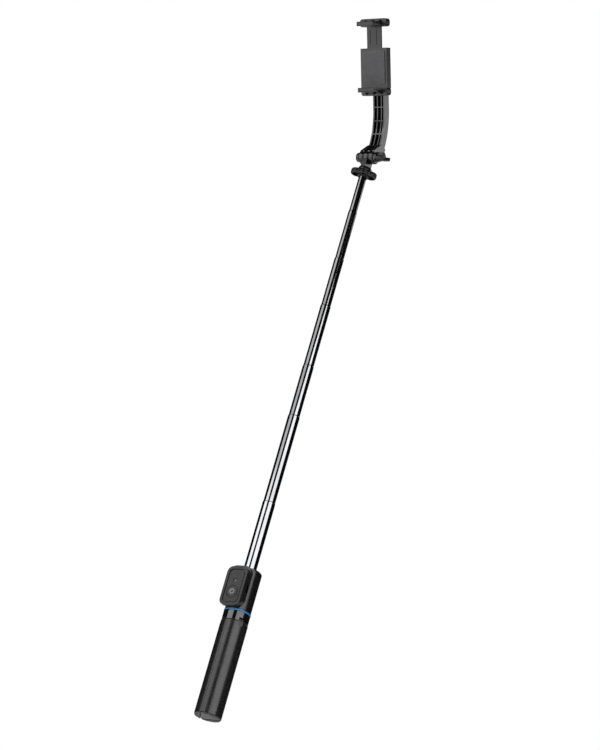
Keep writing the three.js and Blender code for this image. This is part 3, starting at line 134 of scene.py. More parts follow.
HINGE_HEIGHT = sum(corner.z for corner in cad("tilt_bolt")) / 2
BARREL_RADIUS = 8
TONGUE_HALF = 3
PRONG_INNER = 3.3
PRONG_OUTER = 8.8
HINGE_SOFT = 1.5
NUT_DEGREES = 34
KNOB_DEGREES = -85
ARM_TILT = math.radians(31.7)
ARM_BEND_RADIUS = 82
ARM_BEHIND = 9.9
ARM_BEND_START = 17.8
ARM_STRAIGHT = 57.3
ARM_HALF_WIDTH = 7.3
ARM_HALF_DEPTH = 4.95
CLAMP_DEPTH = 8.8
CLAMP_TO_ARM = 0.85
CLAMP_HALF_WIDTH = 16.5
JAW_HALF_HEIGHT = 42.4
JAW_HEIGHT = 9
JAW_INNER = JAW_HALF_HEIGHT - JAW_HEIGHT
HOOK_HALF = 10.1
HOOK_REACH = 18.7
HOOK_TOP = JAW_HALF_HEIGHT - 3.6
HOOK_UNDER = HOOK_TOP - 2.2
BASE_TOP = 10
PIVOT_RADIUS = 2.5
PIVOT_HOLE = 2.55
COVER_SCREW_OUT = 12.3
COVER_SCREW_HEIGHT = 6.4 - JAW_INNER
SPRING_OUT = 6.3
SPRING_MIDDLE = CLAMP_DEPTH - 3.13
SPRING_BOTTOM = 2.38 - JAW_INNER
SPRING_TOP = 4.5


# ---- Mesh helpers ----

def outline(corners, steps=5):
    """Points of a closed outline from (a, b) corners; a third number rounds that corner with an arc."""
    points = []
    for i, corner in enumerate(corners):
        here = Vector(corner[:2])
        if len(corner) < 3:
            points.append(here)
            continue
        back = (Vector(corners[i - 1][:2]) - here).normalized()
        ahead = (Vector(corners[(i + 1) % len(corners)][:2]) - here).normalized()
        half = back.angle(ahead) / 2
        centre = here + (back + ahead).normalized() * corner[2] / math.sin(half)
        start = here + back * corner[2] / math.tan(half) - centre
        sweep = math.copysign(math.pi - 2 * half, back.cross(ahead) * -1)
        for k in range(steps + 1):
            points.append(centre + Matrix.Rotation(sweep * k / steps, 2) @ start)
    return points


def arc(radius, start, end, steps):
    """Points of an arc round the origin between two angles."""
    angles = [start + (end - start) * k / steps for k in range(steps + 1)]
    return [(radius * math.cos(t), radius * math.sin(t)) for t in angles]


def rectangle(width, height, corner, centre=0.0):
    """Corners of a rounded rectangle in the (z, x) plane, centred at a height."""
    z, x = height / 2, width / 2
    return [
        (centre + z, -x, corner), (centre + z, x, corner),
        (centre - z, x, corner), (centre - z, -x, corner),
    ]


def linked(name, data):
    """A new object in the scene."""
    made = bpy.data.objects.new(name, data)
    bpy.context.scene.collection.objects.link(made)
    return made


def to_object(bm):
    bmesh.ops.recalc_face_normals(bm, faces=bm.faces)
    mesh = bpy.data.meshes.new("shape")
    bm.to_mesh(mesh)
    bm.free()
    return linked("shape", mesh)


def soften_edges(bm, width, steps):
    angle = math.radians(30)
    sharp = [e for e in bm.edges if e.is_manifold and e.calc_face_angle() > angle]
    bmesh.ops.bevel(
        bm, geom=sharp, offset=width, segments=steps, profile=0.5, affect="EDGES", clamp_overlap=False,
    )


def bridge(bm, rings):
    """Faces between each ring of vertices and the next; a ring may be one vertex repeated."""
    for lower, upper in zip(rings, rings[1:]):
        for i in range(len(lower)):
            j = (i + 1) % len(lower)
            face = list(dict.fromkeys((lower[i], lower[j], upper[j], upper[i])))
            if len(face) > 2:
                bm.faces.new(face)


STAND = {
    "Z": Matrix.Identity(4),
    "X": Matrix(((0, 0, 1, 0), (1, 0, 0, 0), (0, 1, 0, 0), (0, 0, 0, 1))),
    "Y": Matrix(((0, 1, 0, 0), (0, 0, 1, 0), (1, 0, 0, 0), (0, 0, 0, 1))),
}


def prism(points, low, high, axis="Z", soft=0.0, steps=3):
    """A flat outline given thickness: level, or its (y, z) across X, or its (z, x) across Y."""
    bm = bmesh.new()
    bottom = [bm.verts.new((a, b, low)) for a, b in points]
    top = [bm.verts.new((a, b, high)) for a, b in points]
    bm.faces.new(bottom[::-1])
    bm.faces.new(top)
    bridge(bm, [bottom, top])
    if soft:
        soften_edges(bm, soft, steps)
    return moved(to_object(bm), STAND[axis])


def turned(corners, segments=ROUND):
    """A body turned about Z from (radius, height) corners; a third number rounds a corner."""
    bm = bmesh.new()
    rings = []
    for radius, height in outline(corners):
        if radius < 1e-6:
            rings.append([bm.verts.new((0, 0, height))] * segments)
            continue
        angles = [2 * math.pi * i / segments for i in range(segments)]
        rings.append([bm.verts.new((radius * math.cos(t), radius * math.sin(t), height)) for t in angles])
    bridge(bm, rings + rings[:1])
    return to_object(bm)


def rod(axis, radius, low, high, at=(0, 0), soft=0.0, segments=SMALL):
    """A round bar along X or Y through the point where the other two coordinates are given."""
    place = shift(0, *at) if axis == "X" else shift(at[0], 0, at[1])
    return moved(disc(radius, low, high, soft, segments), place @ STAND[axis])


def disc(radius, low, high, soft=0.0, segments=SMALL):
    """A round bar along Z."""
    edge = (soft,) if soft else ()
    return turned([(0, low), (radius, low, *edge), (radius, high, *edge), (0, high)], segments)


def block(low, high, soft=0.0, steps=3):
    """A box between two corners, its edges rounded."""
    points = [(low[0], low[1]), (high[0], low[1]), (high[0], high[1]), (low[0], high[1])]
    return prism(points, low[2], high[2], "Z", soft, steps)


def moved(obj, matrix):
    obj.data.transform(matrix)
    if matrix.determinant() < 0:
        obj.data.flip_normals()
    return obj


def copy_of(obj, matrix):
    return moved(linked("shape", obj.data.copy()), matrix)


def apply_modifiers(obj):
    graph = bpy.context.evaluated_depsgraph_get()
    mesh = bpy.data.meshes.new_from_object(obj.evaluated_get(graph))
    obj.modifiers.clear()
    obj.data = mesh
    return obj


def combine(obj, operation, tools):
    for tool in tools:
        step = obj.modifiers.new("combine", "BOOLEAN")
        step.operation = operation
        step.solver = "MANIFOLD"
        step.object = tool
    apply_modifiers(obj)
    for tool in tools:
        bpy.data.objects.remove(tool)
    return obj


def cut(obj, *tools):
    return combine(obj, "DIFFERENCE", tools)


def join(obj, *tools):
    return combine(obj, "UNION", tools)


def shift(x, y, z):
    return Matrix.Translation((x, y, z))


def spin(degrees, axis="Z"):
    return Matrix.Rotation(math.radians(degrees), 4, axis)


def facing_user(height):
    """Turns a shape made about Z to face -Y, at a height."""
    return shift(0, 0, height) @ spin(90, "X")


MIRROR_X = Matrix.Diagonal((-1, 1, 1, 1))
MIRROR_Z = Matrix.Diagonal((1, 1, -1, 1))
STICK = Matrix.Scale(MM, 4) @ shift(0, 0, GROUND)
HINGE = STICK @ shift(0, 0, HINGE_HEIGHT)


# ---- Materials ----

class Look:
    """A node material built up from procedural textures in the piece's own coordinates."""

    def __init__(self, name, **sockets):
        self.material = bpy.data.materials.new(name)
        self.material.use_nodes = True
        self.nodes = self.material.node_tree.nodes
        self.links = self.material.node_tree.links
        self.shader = self.nodes["Principled BSDF"]
        self.place = self.nodes.new("ShaderNodeTexCoord").outputs["Object"]
        for socket, value in sockets.items():
            self.shader.inputs[socket.replace("_", " ")].default_value = value
        self.normal = None

    def noise(self, size, detail=3.0, stretch=(1, 1, 1), rough=0.55):
        """Noise whose features are about that many millimetres across."""
        mapping = self.nodes.new("ShaderNodeMapping")
        mapping.inputs["Scale"].default_value = stretch
        texture = self.nodes.new("ShaderNodeTexNoise")
        texture.inputs["Scale"].default_value = 1 / (size * MM)
        texture.inputs["Detail"].default_value = detail
        texture.inputs["Roughness"].default_value = rough
        self.links.new(self.place, mapping.inputs["Vector"])
        self.links.new(mapping.outputs["Vector"], texture.inputs["Vector"])
        return texture.outputs["Fac"]

    def cells(self, size):
        texture = self.nodes.new("ShaderNodeTexVoronoi")
        texture.inputs["Scale"].default_value = 1 / (size * MM)
        self.links.new(self.place, texture.inputs["Vector"])
        return texture.outputs["Distance"]

    def spread(self, source, low, high, start=0.3, end=0.7):
        """The source's middle range mapped to a low and a high value."""
        remap = self.nodes.new("ShaderNodeMapRange")
        for socket, value in (("From Min", start), ("From Max", end), ("To Min", low), ("To Max", high)):
            remap.inputs[socket].default_value = value
        self.links.new(source, remap.inputs["Value"])
        return remap.outputs["Result"]

    def times(self, a, b):
        product = self.nodes.new("ShaderNodeMath")
        product.operation = "MULTIPLY"
        self.links.new(a, product.inputs[0])
        self.links.new(b, product.inputs[1])
        return product.outputs["Value"]

    def blend(self, mask, under, over):
        """Two colours, or a colour and a socket, mixed by a mask."""
        mix = self.nodes.new("ShaderNodeMix")
        mix.data_type = "RGBA"
        self.links.new(mask, mix.inputs["Factor"])
        for index, value in ((6, under), (7, over)):
            if isinstance(value, tuple):
                mix.inputs[index].default_value = (*value, 1)
            else:
                self.links.new(value, mix.inputs[index])
        return mix.outputs[2]

    def edges(self, strength):
        """1 on worn outer edges, 0 elsewhere."""
        point = self.nodes.new("ShaderNodeNewGeometry").outputs["Pointiness"]
        return self.times(self.spread(point, 0, 1, 0.515, 0.56), self.spread(self.noise(1.5), 0, strength))

    def color(self, socket):
        self.links.new(socket, self.shader.inputs["Base Color"])

    def roughness(self, socket):
        self.links.new(socket, self.shader.inputs["Roughness"])

    def bump(self, height, depth, strength=1.0):
        """Adds relief of that many millimetres."""
        bump = self.nodes.new("ShaderNodeBump")
        bump.inputs["Distance"].default_value = depth * MM
        bump.inputs["Strength"].default_value = strength
        self.links.new(height, bump.inputs["Height"])
        if self.normal:
            self.links.new(self.normal, bump.inputs["Normal"])
        self.normal = bump.outputs["Normal"]
        self.links.new(self.normal, self.shader.inputs["Normal"])


def plastic(name, dark, light, rough, grain, depth, **sockets):
    """Moulded plastic: mottled colour, handled patches, spark-eroded grain and pale worn edges."""
    look = Look(name, **sockets)
    mottled = look.blend(look.spread(look.noise(14, 4), 0, 1), dark, light)
    pale = tuple(min(1, 2.6 * c + 0.02) for c in light)
    look.color(look.blend(look.edges(0.5), mottled, pale))
    look.roughness(look.spread(look.noise(22, 5, rough=0.65), *rough))
    look.bump(look.noise(grain, 2), depth)
    look.bump(look.noise(9, 2), depth * 1.6, 0.5)
    return look.material


def rubber(name, dark, light):
    """Matt rubber: fine pebbled skin with dust in the low places."""
    look = Look(name, Specular_IOR_Level=0.3, Sheen_Weight=0.1)
    dust = look.spread(look.noise(6, 5, rough=0.7), 0, 0.5)
    look.color(look.blend(dust, dark, light))
    look.roughness(look.spread(look.noise(4, 3), 0.62, 0.82))
    look.bump(look.cells(0.45), 0.05)
    look.bump(look.noise(0.2, 2), 0.02)
    return look.material


def metal(name, dark, light, rough, lines, depth, stretch):
    """Plated metal with fine marks drawn out along one direction."""
    look = Look(name, Metallic=1.0)
    drawn = look.noise(lines, 3, stretch)
    look.color(look.blend(look.spread(look.noise(30, 4), 0, 1), dark, light))
    look.roughness(look.times(look.spread(drawn, 0.8, 1.2), look.spread(look.noise(18, 4), *rough)))
    look.bump(drawn, depth)
    return look.material


def board_look():
    """Green solder mask over copper traces."""
    look = Look("board", Specular_IOR_Level=0.5)
    mask = look.blend(look.spread(look.noise(5, 3), 0, 1), (0.006, 0.075, 0.03), (0.012, 0.13, 0.05))
    traces = look.spread(look.cells(1.6), 1, 0, 0.08, 0.16)
    look.color(look.blend(traces, mask, (0.45, 0.33, 0.12)))
    look.roughness(look.spread(look.noise(3), 0.3, 0.5))
    look.bump(traces, 0.04)
    return look.material


LOOKS = {
    "satin_plastic": plastic(
        "satin_plastic", (0.003, 0.003, 0.0031), (0.006, 0.006, 0.0062), (0.22, 0.31), 0.22, 0.002),
    "remote_satin": plastic(
        "remote_satin", (0.003, 0.003, 0.0032), (0.006, 0.006, 0.0063), (0.28, 0.38), 0.22, 0.003,
        Specular_IOR_Level=0.33),
    "gloss_plastic": plastic(
        "gloss_plastic", (0.003, 0.003, 0.0032), (0.005, 0.005, 0.0053), (0.07, 0.15), 0.9, 0.0012,
        Coat_Weight=0.4, Coat_Roughness=0.06),
    "accent_plastic": plastic(
        "accent_plastic", (0.016, 0.165, 0.37), (0.024, 0.21, 0.45), (0.28, 0.4), 0.25, 0.004),
    "button_plastic": plastic(
        "button_plastic", (0.021, 0.021, 0.022), (0.03, 0.03, 0.031), (0.42, 0.52), 0.18, 0.006),
    "lens": plastic(
        "lens", (0.02, 0.021, 0.023), (0.03, 0.032, 0.035), (0.05, 0.11), 1.2, 0.001,
        Coat_Weight=0.6, Coat_Roughness=0.04),
    "nylon": plastic("nylon", (0.62, 0.62, 0.58), (0.74, 0.74, 0.7), (0.45, 0.58), 0.5, 0.01),
    "print": plastic("print", (0.2, 0.205, 0.21), (0.26, 0.265, 0.27), (0.5, 0.62), 0.15, 0.004),
    "foot_rubber": rubber("foot_rubber", (0.045, 0.045, 0.047), (0.075, 0.075, 0.077)),
    "pad_rubber": rubber("pad_rubber", (0.075, 0.075, 0.078), (0.11, 0.11, 0.115)),
    "steel": metal("steel", (0.5, 0.51, 0.53), (0.62, 0.63, 0.65), (0.2, 0.34), 0.25, 0.003, (1, 1, 1)),
    "blackened_steel": metal(
        "blackened_steel", (0.03, 0.03, 0.032), (0.05, 0.05, 0.053), (0.2, 0.32), 0.25, 0.003, (1, 1, 1)),
    "pole_metal": metal(
        "pole_metal", (0.23, 0.233, 0.24), (0.3, 0.303, 0.312), (0.05, 0.09), 0.35, 0.0008, (1, 1, 0.02)),
    "board": board_look(),
}


def finish_piece(obj, node, body, slot, place=STICK, name=None, look=None):
    """Names, shades and paints a shape, and hands it to its body in place of its CAD node.

    A piece with a name of its own is extra and replaces no node. One with no body is handed to none and
    keeps its place baked into its mesh.
    """
    moved(obj, place)
    obj.name = name or f"{node}_detail"
    obj.data.name = obj.name
    obj.data.shade_smooth()
    obj.data.set_sharp_from_angle(angle=CREASE)
    normals = obj.modifiers.new("even_normals", "WEIGHTED_NORMAL")
    normals.keep_sharp = True
    obj.data.materials.clear()
    obj.data.materials.append(LOOKS[look or slot])
    if body:
        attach(obj, body)
    if not name:
        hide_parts(node)
    return obj


# ---- Legs, feet, hub, ring ----

def segment(radius, chord, steps=40):
    """The slice of a disc beyond a chord, facing -Y."""
    half = math.acos(chord / radius)
    return arc(radius, -math.pi / 2 - half, -math.pi / 2 + half, steps)


def make_leg():
    low = FOOT_HEIGHT + SEAT
    leg = prism(segment(LEG_RADIUS, LEG_CHORD), low, LEG_TOP, "Z", 0.3)
    wall, cap, rib, bays = 1.8, 3, 1.2, 4
    bay = (LEG_TOP - low - 2 * cap - (bays - 1) * rib) / bays
    hollows = []
    for i in range(bays):
        start = low + cap + i * (bay + rib)
        hollows.append(prism(segment(LEG_RADIUS - wall, LEG_CHORD - 1), start, start + bay))
    pocket = block(
        (-SLOT_HALF, -LEG_RADIUS - 1, LEG_TOP - 4.1),
        (SLOT_HALF, 0.9 - LEG_RADIUS, LEG_TOP + 1))
    leg = cut(leg, *hollows, pocket)
    tongue = block(
        (-KNUCKLE_HALF, -(PIN_OUT + KNUCKLE_RADIUS * 0.7), LEG_TOP - 1.5),
        (KNUCKLE_HALF, -(PIN_OUT - KNUCKLE_RADIUS), PIN_HEIGHT), 0.15)
    knuckle = rod("X", KNUCKLE_RADIUS, -KNUCKLE_HALF, KNUCKLE_HALF, (-PIN_OUT, PIN_HEIGHT), 0.25)
    leg = join(leg, tongue, knuckle)
    stem_hole = moved(disc(STEM_RADIUS + FIT, 0, FOOT_HEIGHT + STEM_LENGTH + SEAT), shift(0, -STEM_OUT, 0))
    pin_hole = rod("X", PIN_HOLE, -KNUCKLE_HALF - 1, KNUCKLE_HALF + 1, (-PIN_OUT, PIN_HEIGHT))
    return cut(leg, stem_hole, pin_hole)


def make_foot():
    """A thin rubber sole with a shallow tread line round it and a moulding dimple."""
    radius = LEG_RADIUS - FOOT_INSET
    tread_inset, tread_width = 1.2, 0.3
    sole = prism(segment(radius, LEG_CHORD + FOOT_INSET / 2), 0, FOOT_HEIGHT, "Z", 0.22)
    outer = prism(segment(radius - tread_inset, LEG_CHORD + 1.1), -0.5, 0.15)
    inner = prism(segment(radius - tread_inset - tread_width, LEG_CHORD + 1.1 + tread_width), -1, 1)
    dimple = moved(disc(0.8, -1, 0.35, segments=24), shift(-7.2, -9.4, 0))
    sole = cut(sole, cut(outer, inner), dimple)
    stem = disc(STEM_RADIUS, FOOT_HEIGHT / 2, FOOT_HEIGHT + STEM_LENGTH, 0.2)
    return join(sole, moved(stem, shift(0, -STEM_OUT, 0)))


def make_leg_pin():
    return rod("X", PIN_RADIUS, -PIN_HALF, PIN_HALF, (-PIN_OUT, PIN_HEIGHT), 0.2)


def make_hub():
    """A ring with a spigot for the coloured ring, and a slot and a pin hole for each leg."""
    bore = CORE_RADIUS + FIT
    spigot = HUB_RADIUS - 1.6
    top = HUB_HIGH.z
    shoulder = top - 2
    hub = turned([
        (bore, HUB_LOW.z, 0.2), (HUB_RADIUS, HUB_LOW.z, 0.8), (HUB_RADIUS, shoulder, 0.25),
        (spigot, shoulder), (spigot, top, 0.2), (bore, top, 0.2),
    ], FINE)
    slot_top = PIN_HEIGHT + KNUCKLE_RADIUS + GAP
    tools = []
    for angle in LEG_ANGLES.values():
        turn = spin(angle)
        slot = prism(
            outline([
                (-SLOT_HALF, HUB_LOW.z - 1), (SLOT_HALF, HUB_LOW.z - 1),
                (SLOT_HALF, slot_top, 0.8), (-SLOT_HALF, slot_top, 0.8),
            ]), PIN_OUT - KNUCKLE_RADIUS - GAP, HUB_RADIUS + 1)
        hole = rod("X", PIN_HOLE, -PIN_HALF - SEAT, PIN_HALF + SEAT, (-PIN_OUT, PIN_HEIGHT))
        tools += [moved(slot, turn @ spin(90, "X")), moved(hole, turn)]
    return cut(hub, *tools)


def make_ring():
    low, high = cad("accent_ring")
    inner = HUB_RADIUS - 1.55
    return turned([
        (inner, low.z, 0.1), (high.x, low.z, 0.45), (high.x, high.z, 0.45), (inner, high.z, 0.1),
    ], FINE)


# ---- Housing, collar and cradle ----

def flat_disc(radius, flat, steps=72):
    """A circle with a flat on its -Y side, as points in the (x, y) plane."""
    half = math.acos(flat / radius)
    return arc(radius, -math.pi / 2 + half, 1.5 * math.pi - half, steps)


def make_housing():
    low, high = HOUSING_LOW.z, HOUSING_HIGH.z
    lip = 1.2
    bm = bmesh.new()
    points = flat_disc(HOUSING_RADIUS, HOUSING_FLAT)
    # Rings up the side, then in over a soft shoulder to the top.
    shoulder = outline([(0, low + lip - 0.4), (0, high, 2.2), (-9, high)], 8)
    rings = []
    for inward, height in shoulder:
        scale = (HOUSING_RADIUS + inward) / HOUSING_RADIUS
        rings.append([bm.verts.new((x * scale, y * scale, height)) for x, y in points])
    bridge(bm, rings)
    bm.faces.new(rings[0][::-1])
    bm.faces.new(rings[-1])
    body = to_object(bm)
    base = turned([
        (0, low), (HOUSING_RADIUS, low, 0.3), (HOUSING_RADIUS, low + lip, 0.3), (0, low + lip),
    ], FINE)
    body = join(body, base)
    roof = high - 2.4
    hollow = prism(flat_disc(HOUSING_RADIUS - 1.8, HOUSING_FLAT - 1.5), low - 1, roof)
    bore = disc(CORE_RADIUS + FIT, low - 1, high + 1, segments=ROUND)
    seat = disc(cad("housing_collar")[1].x + FIT, high - 1.3, high + 1, segments=ROUND)
    holes = [
        rod("Y", SCREW_HOLE, -HOUSING_RADIUS, -CORE_RADIUS, (0, REMOTE_CENTRE + z))
        for z in (-CRADLE_SCREW_OFFSET, CRADLE_SCREW_OFFSET)
    ]
    return cut(body, hollow, bore, seat, *holes)


def make_collar():
    low, high = cad("housing_collar")
    inner = cad("tube_7")[1].x + 0.12
    return turned([
        (inner, low.z), (high.x, low.z), (high.x, high.z, 0.5), (inner, high.z, 0.35),
    ])


def remote_outline(width, height, corner):
    return outline(rectangle(width, height, corner, REMOTE_CENTRE), 14)


def back_outline(extra):
    """Outline of the remote's back shell, grown by a margin."""
    inset, ends = 1.1, 3
    return remote_outline(
        REMOTE_WIDTH - 2 * inset + 2 * extra, REMOTE_HEIGHT - 2 * ends + 2 * extra,
        REMOTE_CORNER - inset + extra)


def make_cradle():
    """An arch-topped tray with a pocket for the remote and a scooped finger notch on each side."""
    width = CRADLE_HIGH.x - CRADLE_LOW.x
    height = CRADLE_HIGH.z - CRADLE_LOW.z
    centre = (CRADLE_HIGH.z + CRADLE_LOW.z) / 2
    front, back = CRADLE_LOW.y, CRADLE_HIGH.y
    tray = prism(outline(rectangle(width, height, 8, centre), 16), front, back, "Y", 0.6, 4)
    pocket = prism(back_outline(GAP), front - 1, CRADLE_FLOOR, "Y")
    radius, depth, wall = 8, 4, 1.4
    scoops = []
    for side in (-1, 1):
        low, high = sorted((side * (width / 2 - wall - 1), side * width))
        scoops.append(rod("X", radius, low, high, (front - radius + depth, REMOTE_CENTRE), 0, ROUND))
    tray = cut(tray, pocket, *scoops)
    holes = []
    for z in (-CRADLE_SCREW_OFFSET, CRADLE_SCREW_OFFSET):
        holes.append(rod("Y", SCREW_HOLE, front, 0, (0, REMOTE_CENTRE + z)))
        holes.append(rod("Y", SCREW_HEAD_HOLE, front, CRADLE_FLOOR + 1.1, (0, REMOTE_CENTRE + z)))
    return cut(tray, *holes)


# ---- Remote ----

def make_remote_front():
    """A bevelled shell whose panel sits down inside a rim, with a fine groove round it."""
    front, split = REMOTE_FRONT, REMOTE_SPLIT
    bevel = 1.4
    whole = remote_outline(REMOTE_WIDTH, REMOTE_HEIGHT, REMOTE_CORNER)
    shell = prism(whole, front, split + 2.5, "Y", bevel, 5)
    behind = block((-20, split, 0), (20, split + 9, HOUSING_HIGH.z * 2))
    panel_inset, groove_width, groove_depth = 2.8, 0.9, 0.8

    def panel(inset):
        return remote_outline(
            REMOTE_WIDTH - 2 * inset, REMOTE_HEIGHT - 2 * inset, REMOTE_CORNER - inset / 2)

    recess = prism(panel(panel_inset), front - 2, front + PANEL_DEPTH, "Y")
    moat = prism(panel(panel_inset), front - 2, front + PANEL_DEPTH + groove_depth, "Y")
    moat = cut(moat, prism(panel(panel_inset + groove_width), front - 3, front + 2, "Y"))
    inside = remote_outline(
        REMOTE_WIDTH - 2 * REMOTE_WALL, REMOTE_HEIGHT - 2 * REMOTE_WALL, REMOTE_CORNER - REMOTE_WALL)
    hollow = prism(inside, front + 1.6, split + 1, "Y")
    button = rod("Y", BUTTON_RADIUS + 0.4, front - 1, 0, (0, BUTTON_HEIGHT), segments=ROUND)
    lens = rod("Y", LENS_RADIUS + FIT, front - 1, 0, (0, LENS_HEIGHT), segments=48)
    bezel = rod("Y", 2.5, front - 1, front + PANEL_DEPTH + 0.25, (0, LENS_HEIGHT), segments=48)
    return cut(shell, behind, recess, moat, hollow, button, lens, bezel)


def make_remote_back():
    back = cad("remote_back")[1].y
    shell = prism(back_outline(0), REMOTE_SPLIT + SEAT, back, "Y", 0.5, 4)
    hollow = prism(back_outline(-REMOTE_WALL), REMOTE_SPLIT - 1, back - REMOTE_WALL, "Y")
    return cut(shell, hollow)


def make_button():
    """A slightly dished cap with a rolled edge and a hidden flange."""
    face = -BUTTON_LOW.y
    proud = 0.35
    flange = face - proud - PANEL_DEPTH - REMOTE_WALL - SEAT
    flange_radius = BUTTON_RADIUS + 0.9
    back = -BUTTON_HIGH.y
    profile = [
        (0, face - 0.22), (3.4, face - 0.2), (4.6, face - 0.04), (5.3, face, 0.6),
        (BUTTON_RADIUS, face - 0.5, 0.5), (BUTTON_RADIUS, flange),
        (flange_radius, flange), (flange_radius, back), (0, back),
    ]
    return moved(turned(profile), facing_user(BUTTON_HEIGHT))


def make_button_icon():
    """A printed ring with a small dot, a generic shutter mark."""
    low = -BUTTON_LOW.y - 0.235
    high = low + 0.07
    soft = 0.03
    ring = turned([(1.9, low), (2.9, low), (2.9, high, soft), (1.9, high, soft)], 72)
    dot = turned([(0, low), (0.45, low), (0.45, high, soft), (0, high)], 24)
    return moved(join(ring, dot), facing_user(BUTTON_HEIGHT))


def make_lens():
    """A low dome of smoked plastic."""
    face = -LENS_LOW.y
    back = -LENS_HIGH.y
    dome = turned([
        (0, face), (1.1, face - 0.06), (LENS_RADIUS, face - 0.35, 0.2), (LENS_RADIUS, back), (0, back),
    ], 48)
    return moved(dome, facing_user(LENS_HEIGHT))


# ---- Pole ----

def make_tube(section):
    """A drawn tube with its mouth rolled in a little."""
    low, high = cad(f"tube_{section}")
    outer = high.x
    inner = outer - 0.28
    roll = 1.1
    return turned([
        (inner, low.z), (outer, low.z, 0.08), (outer, high.z - roll), (outer - 0.1, high.z - 0.35),
        (outer - 0.16, high.z, 0.1), (inner + 0.01, high.z), (inner, high.z - 0.6),
    ])


def make_ferrule():
    """A plug in the top section, its collar and the stud that the pan nut and swivel turn on."""
    low, high = cad("pole_ferrule")
    radius = high.x
    tube_high = cad("tube_1")[1]
    seat = tube_high.z + SEAT
    collar_top = tube_high.z + 1
    plug = tube_high.x - 0.33
    stud = 3
    return turned([
        (0, low.z), (plug, low.z, 0.4), (plug, seat), (radius, seat, 0.25), (radius, collar_top, 0.3),
        (stud, collar_top), (stud, high.z, 0.5), (0, high.z),
    ], 72)


# ---- Pan nut, swivel and hinge ----

def make_pan_nut():
    """Two round thumb lobes either side of a waist, dished from below, with grip flutes."""
    low, high = cad("pan_nut")
    lobe_out, lobe_radius, waist_radius = 7.9, 6.6, 7.4
    flute_radius, flute_step, flutes_each_way = 0.55, 26, 4
    lobes = []
    for side in (-1, 1):
        lobe = disc(lobe_radius, low.z, high.z, 1.3, MEDIUM)
        lobes.append(moved(lobe, shift(side * lobe_out, 0, 0)))
    nut = join(disc(waist_radius, low.z + 0.4, high.z - 0.2, 0.9, MEDIUM), *lobes)
    tools = []
    for side in (-1, 1):
        centre = shift(side * lobe_out, 0, 0)
        dish = turned([(0, low.z - 1), (4.8, low.z - 1), (4.7, low.z + 2.6), (0, low.z + 3.6)], 64)
        tools.append(cut(moved(dish, centre), disc(5.4, low.z - 2, high.z)))
        for k in range(-flutes_each_way, flutes_each_way + 1):
            turn = spin(k * flute_step + (0 if side > 0 else 180))
            flute = disc(flute_radius, low.z - 1, high.z + 1, segments=16)
            tools.append(moved(flute, centre @ turn @ shift(lobe_radius + 0.2, 0, 0)))
    tools.append(disc(STUD_HOLE, low.z - 1, high.z + 1))
    return moved(cut(nut, *tools), spin(NUT_DEGREES))


def make_swivel():
    """A round foot with a necked tongue, in the hinge's own frame."""
    low = cad("swivel_head")[0].z - HINGE_HEIGHT
    height, radius, neck_half = 3.8, 7.5, 6.4
    foot = turned([(0, low), (radius, low, 0.5), (radius, low + height, 1.2), (0, low + height)], MEDIUM)
    neck = prism(
        outline([
            (-neck_half, low + height / 2), (neck_half, low + height / 2), (neck_half, -2.5, 3),
            (neck_half - 0.2, 0), (0.2 - neck_half, 0), (-neck_half, -2.5, 3)]),
        -TONGUE_HALF, TONGUE_HALF, "X", 1.2, 5)
    barrel = rod("X", BARREL_RADIUS, -TONGUE_HALF, TONGUE_HALF, (0, 0), HINGE_SOFT, MEDIUM)
    stud_hole = disc(STUD_HOLE, low - 1, low + 3.5)
    return cut(join(foot, neck, barrel), stud_hole, rod("X", BOLT_HOLE, -4, 4))


def make_washer():
    """The washer on the knob's side, in the hinge's own frame."""
    low, thickness = PRONG_OUTER + SEAT, 0.7
    washer = rod("X", 5, low, low + thickness, (0, 0), 0.15, 64)
    return cut(washer, rod("X", BOLT_HOLE, 0, 20))


def make_cap_nut():
    """A domed nut with grip grooves round it, hollow towards the bolt."""
    start = -cad("tilt_cap_nut")[1].x
    end = -cad("tilt_cap_nut")[0].x
    radius, bolt_depth, count = 5.6, 2.1, 14
    cap = turned([
        (0, -end), (radius - 0.6, -end, 1.4), (radius, -start, 0.3), (0, -start),
    ], MEDIUM)
    grooves = []
    for k in range(count):
        groove = rod("X", 0.5, -end - 1, -start - 0.7, (radius + 0.1, 0), segments=16)
        grooves.append(moved(groove, spin(360 * k / count, "X")))
    return cut(moved(cap, STAND["X"]), rod("X", BOLT_HOLE, -(start + bolt_depth), 0), *grooves)


def make_knob():
    """A tapered hub with two swept wings, its points in the hinge's own frame."""
    low = cad("tilt_washer_knob")[1].x + SEAT
    length, tip, hub_radius = 10.5, 4.2, 5.6
    hub = turned([
        (0, low), (hub_radius, low, 0.4), (hub_radius, low + 3, 0.8),
        (tip, low + length, 1.2), (0, low + length),
    ], 64)
    wing = outline([
        (0, low + 1.5), (hub_radius - 0.6, low + 1.5, 1.0), (7.9, low + 6.5, 4), (8.4, low + 14.2, 2.2),
        (5.9, low + 14.2, 1.6), (tip, low + length - 0.9, 0.8), (0, low + length - 2.5),
    ], 8)
    half = 1.6
    wing_right = prism(wing, -half, half, "Z", 0.5, 4)
    wing_left = copy_of(wing_right, spin(180, "Y"))
    knob = join(hub, moved(wing_left, spin(90, "X")), moved(wing_right, spin(90, "X")))
    knob = cut(knob, disc(BOLT_HOLE, low - 1, low + 6))
    return moved(knob, spin(KNOB_DEGREES, "X") @ spin(90, "Y"))


# ---- Curved arm ----

BEND_CENTRE = (ARM_BEHIND - ARM_BEND_RADIUS, ARM_BEND_START)


def arm_point(offset, angle, along=0.0):
    """A point beside the arm's centreline, in the (y, z) plane measured from the tilt axis."""
    radius = ARM_BEND_RADIUS + offset
    return (
        BEND_CENTRE[0] + radius * math.cos(angle) - along * math.sin(angle),
        BEND_CENTRE[1] + radius * math.sin(angle) + along * math.cos(angle),
    )


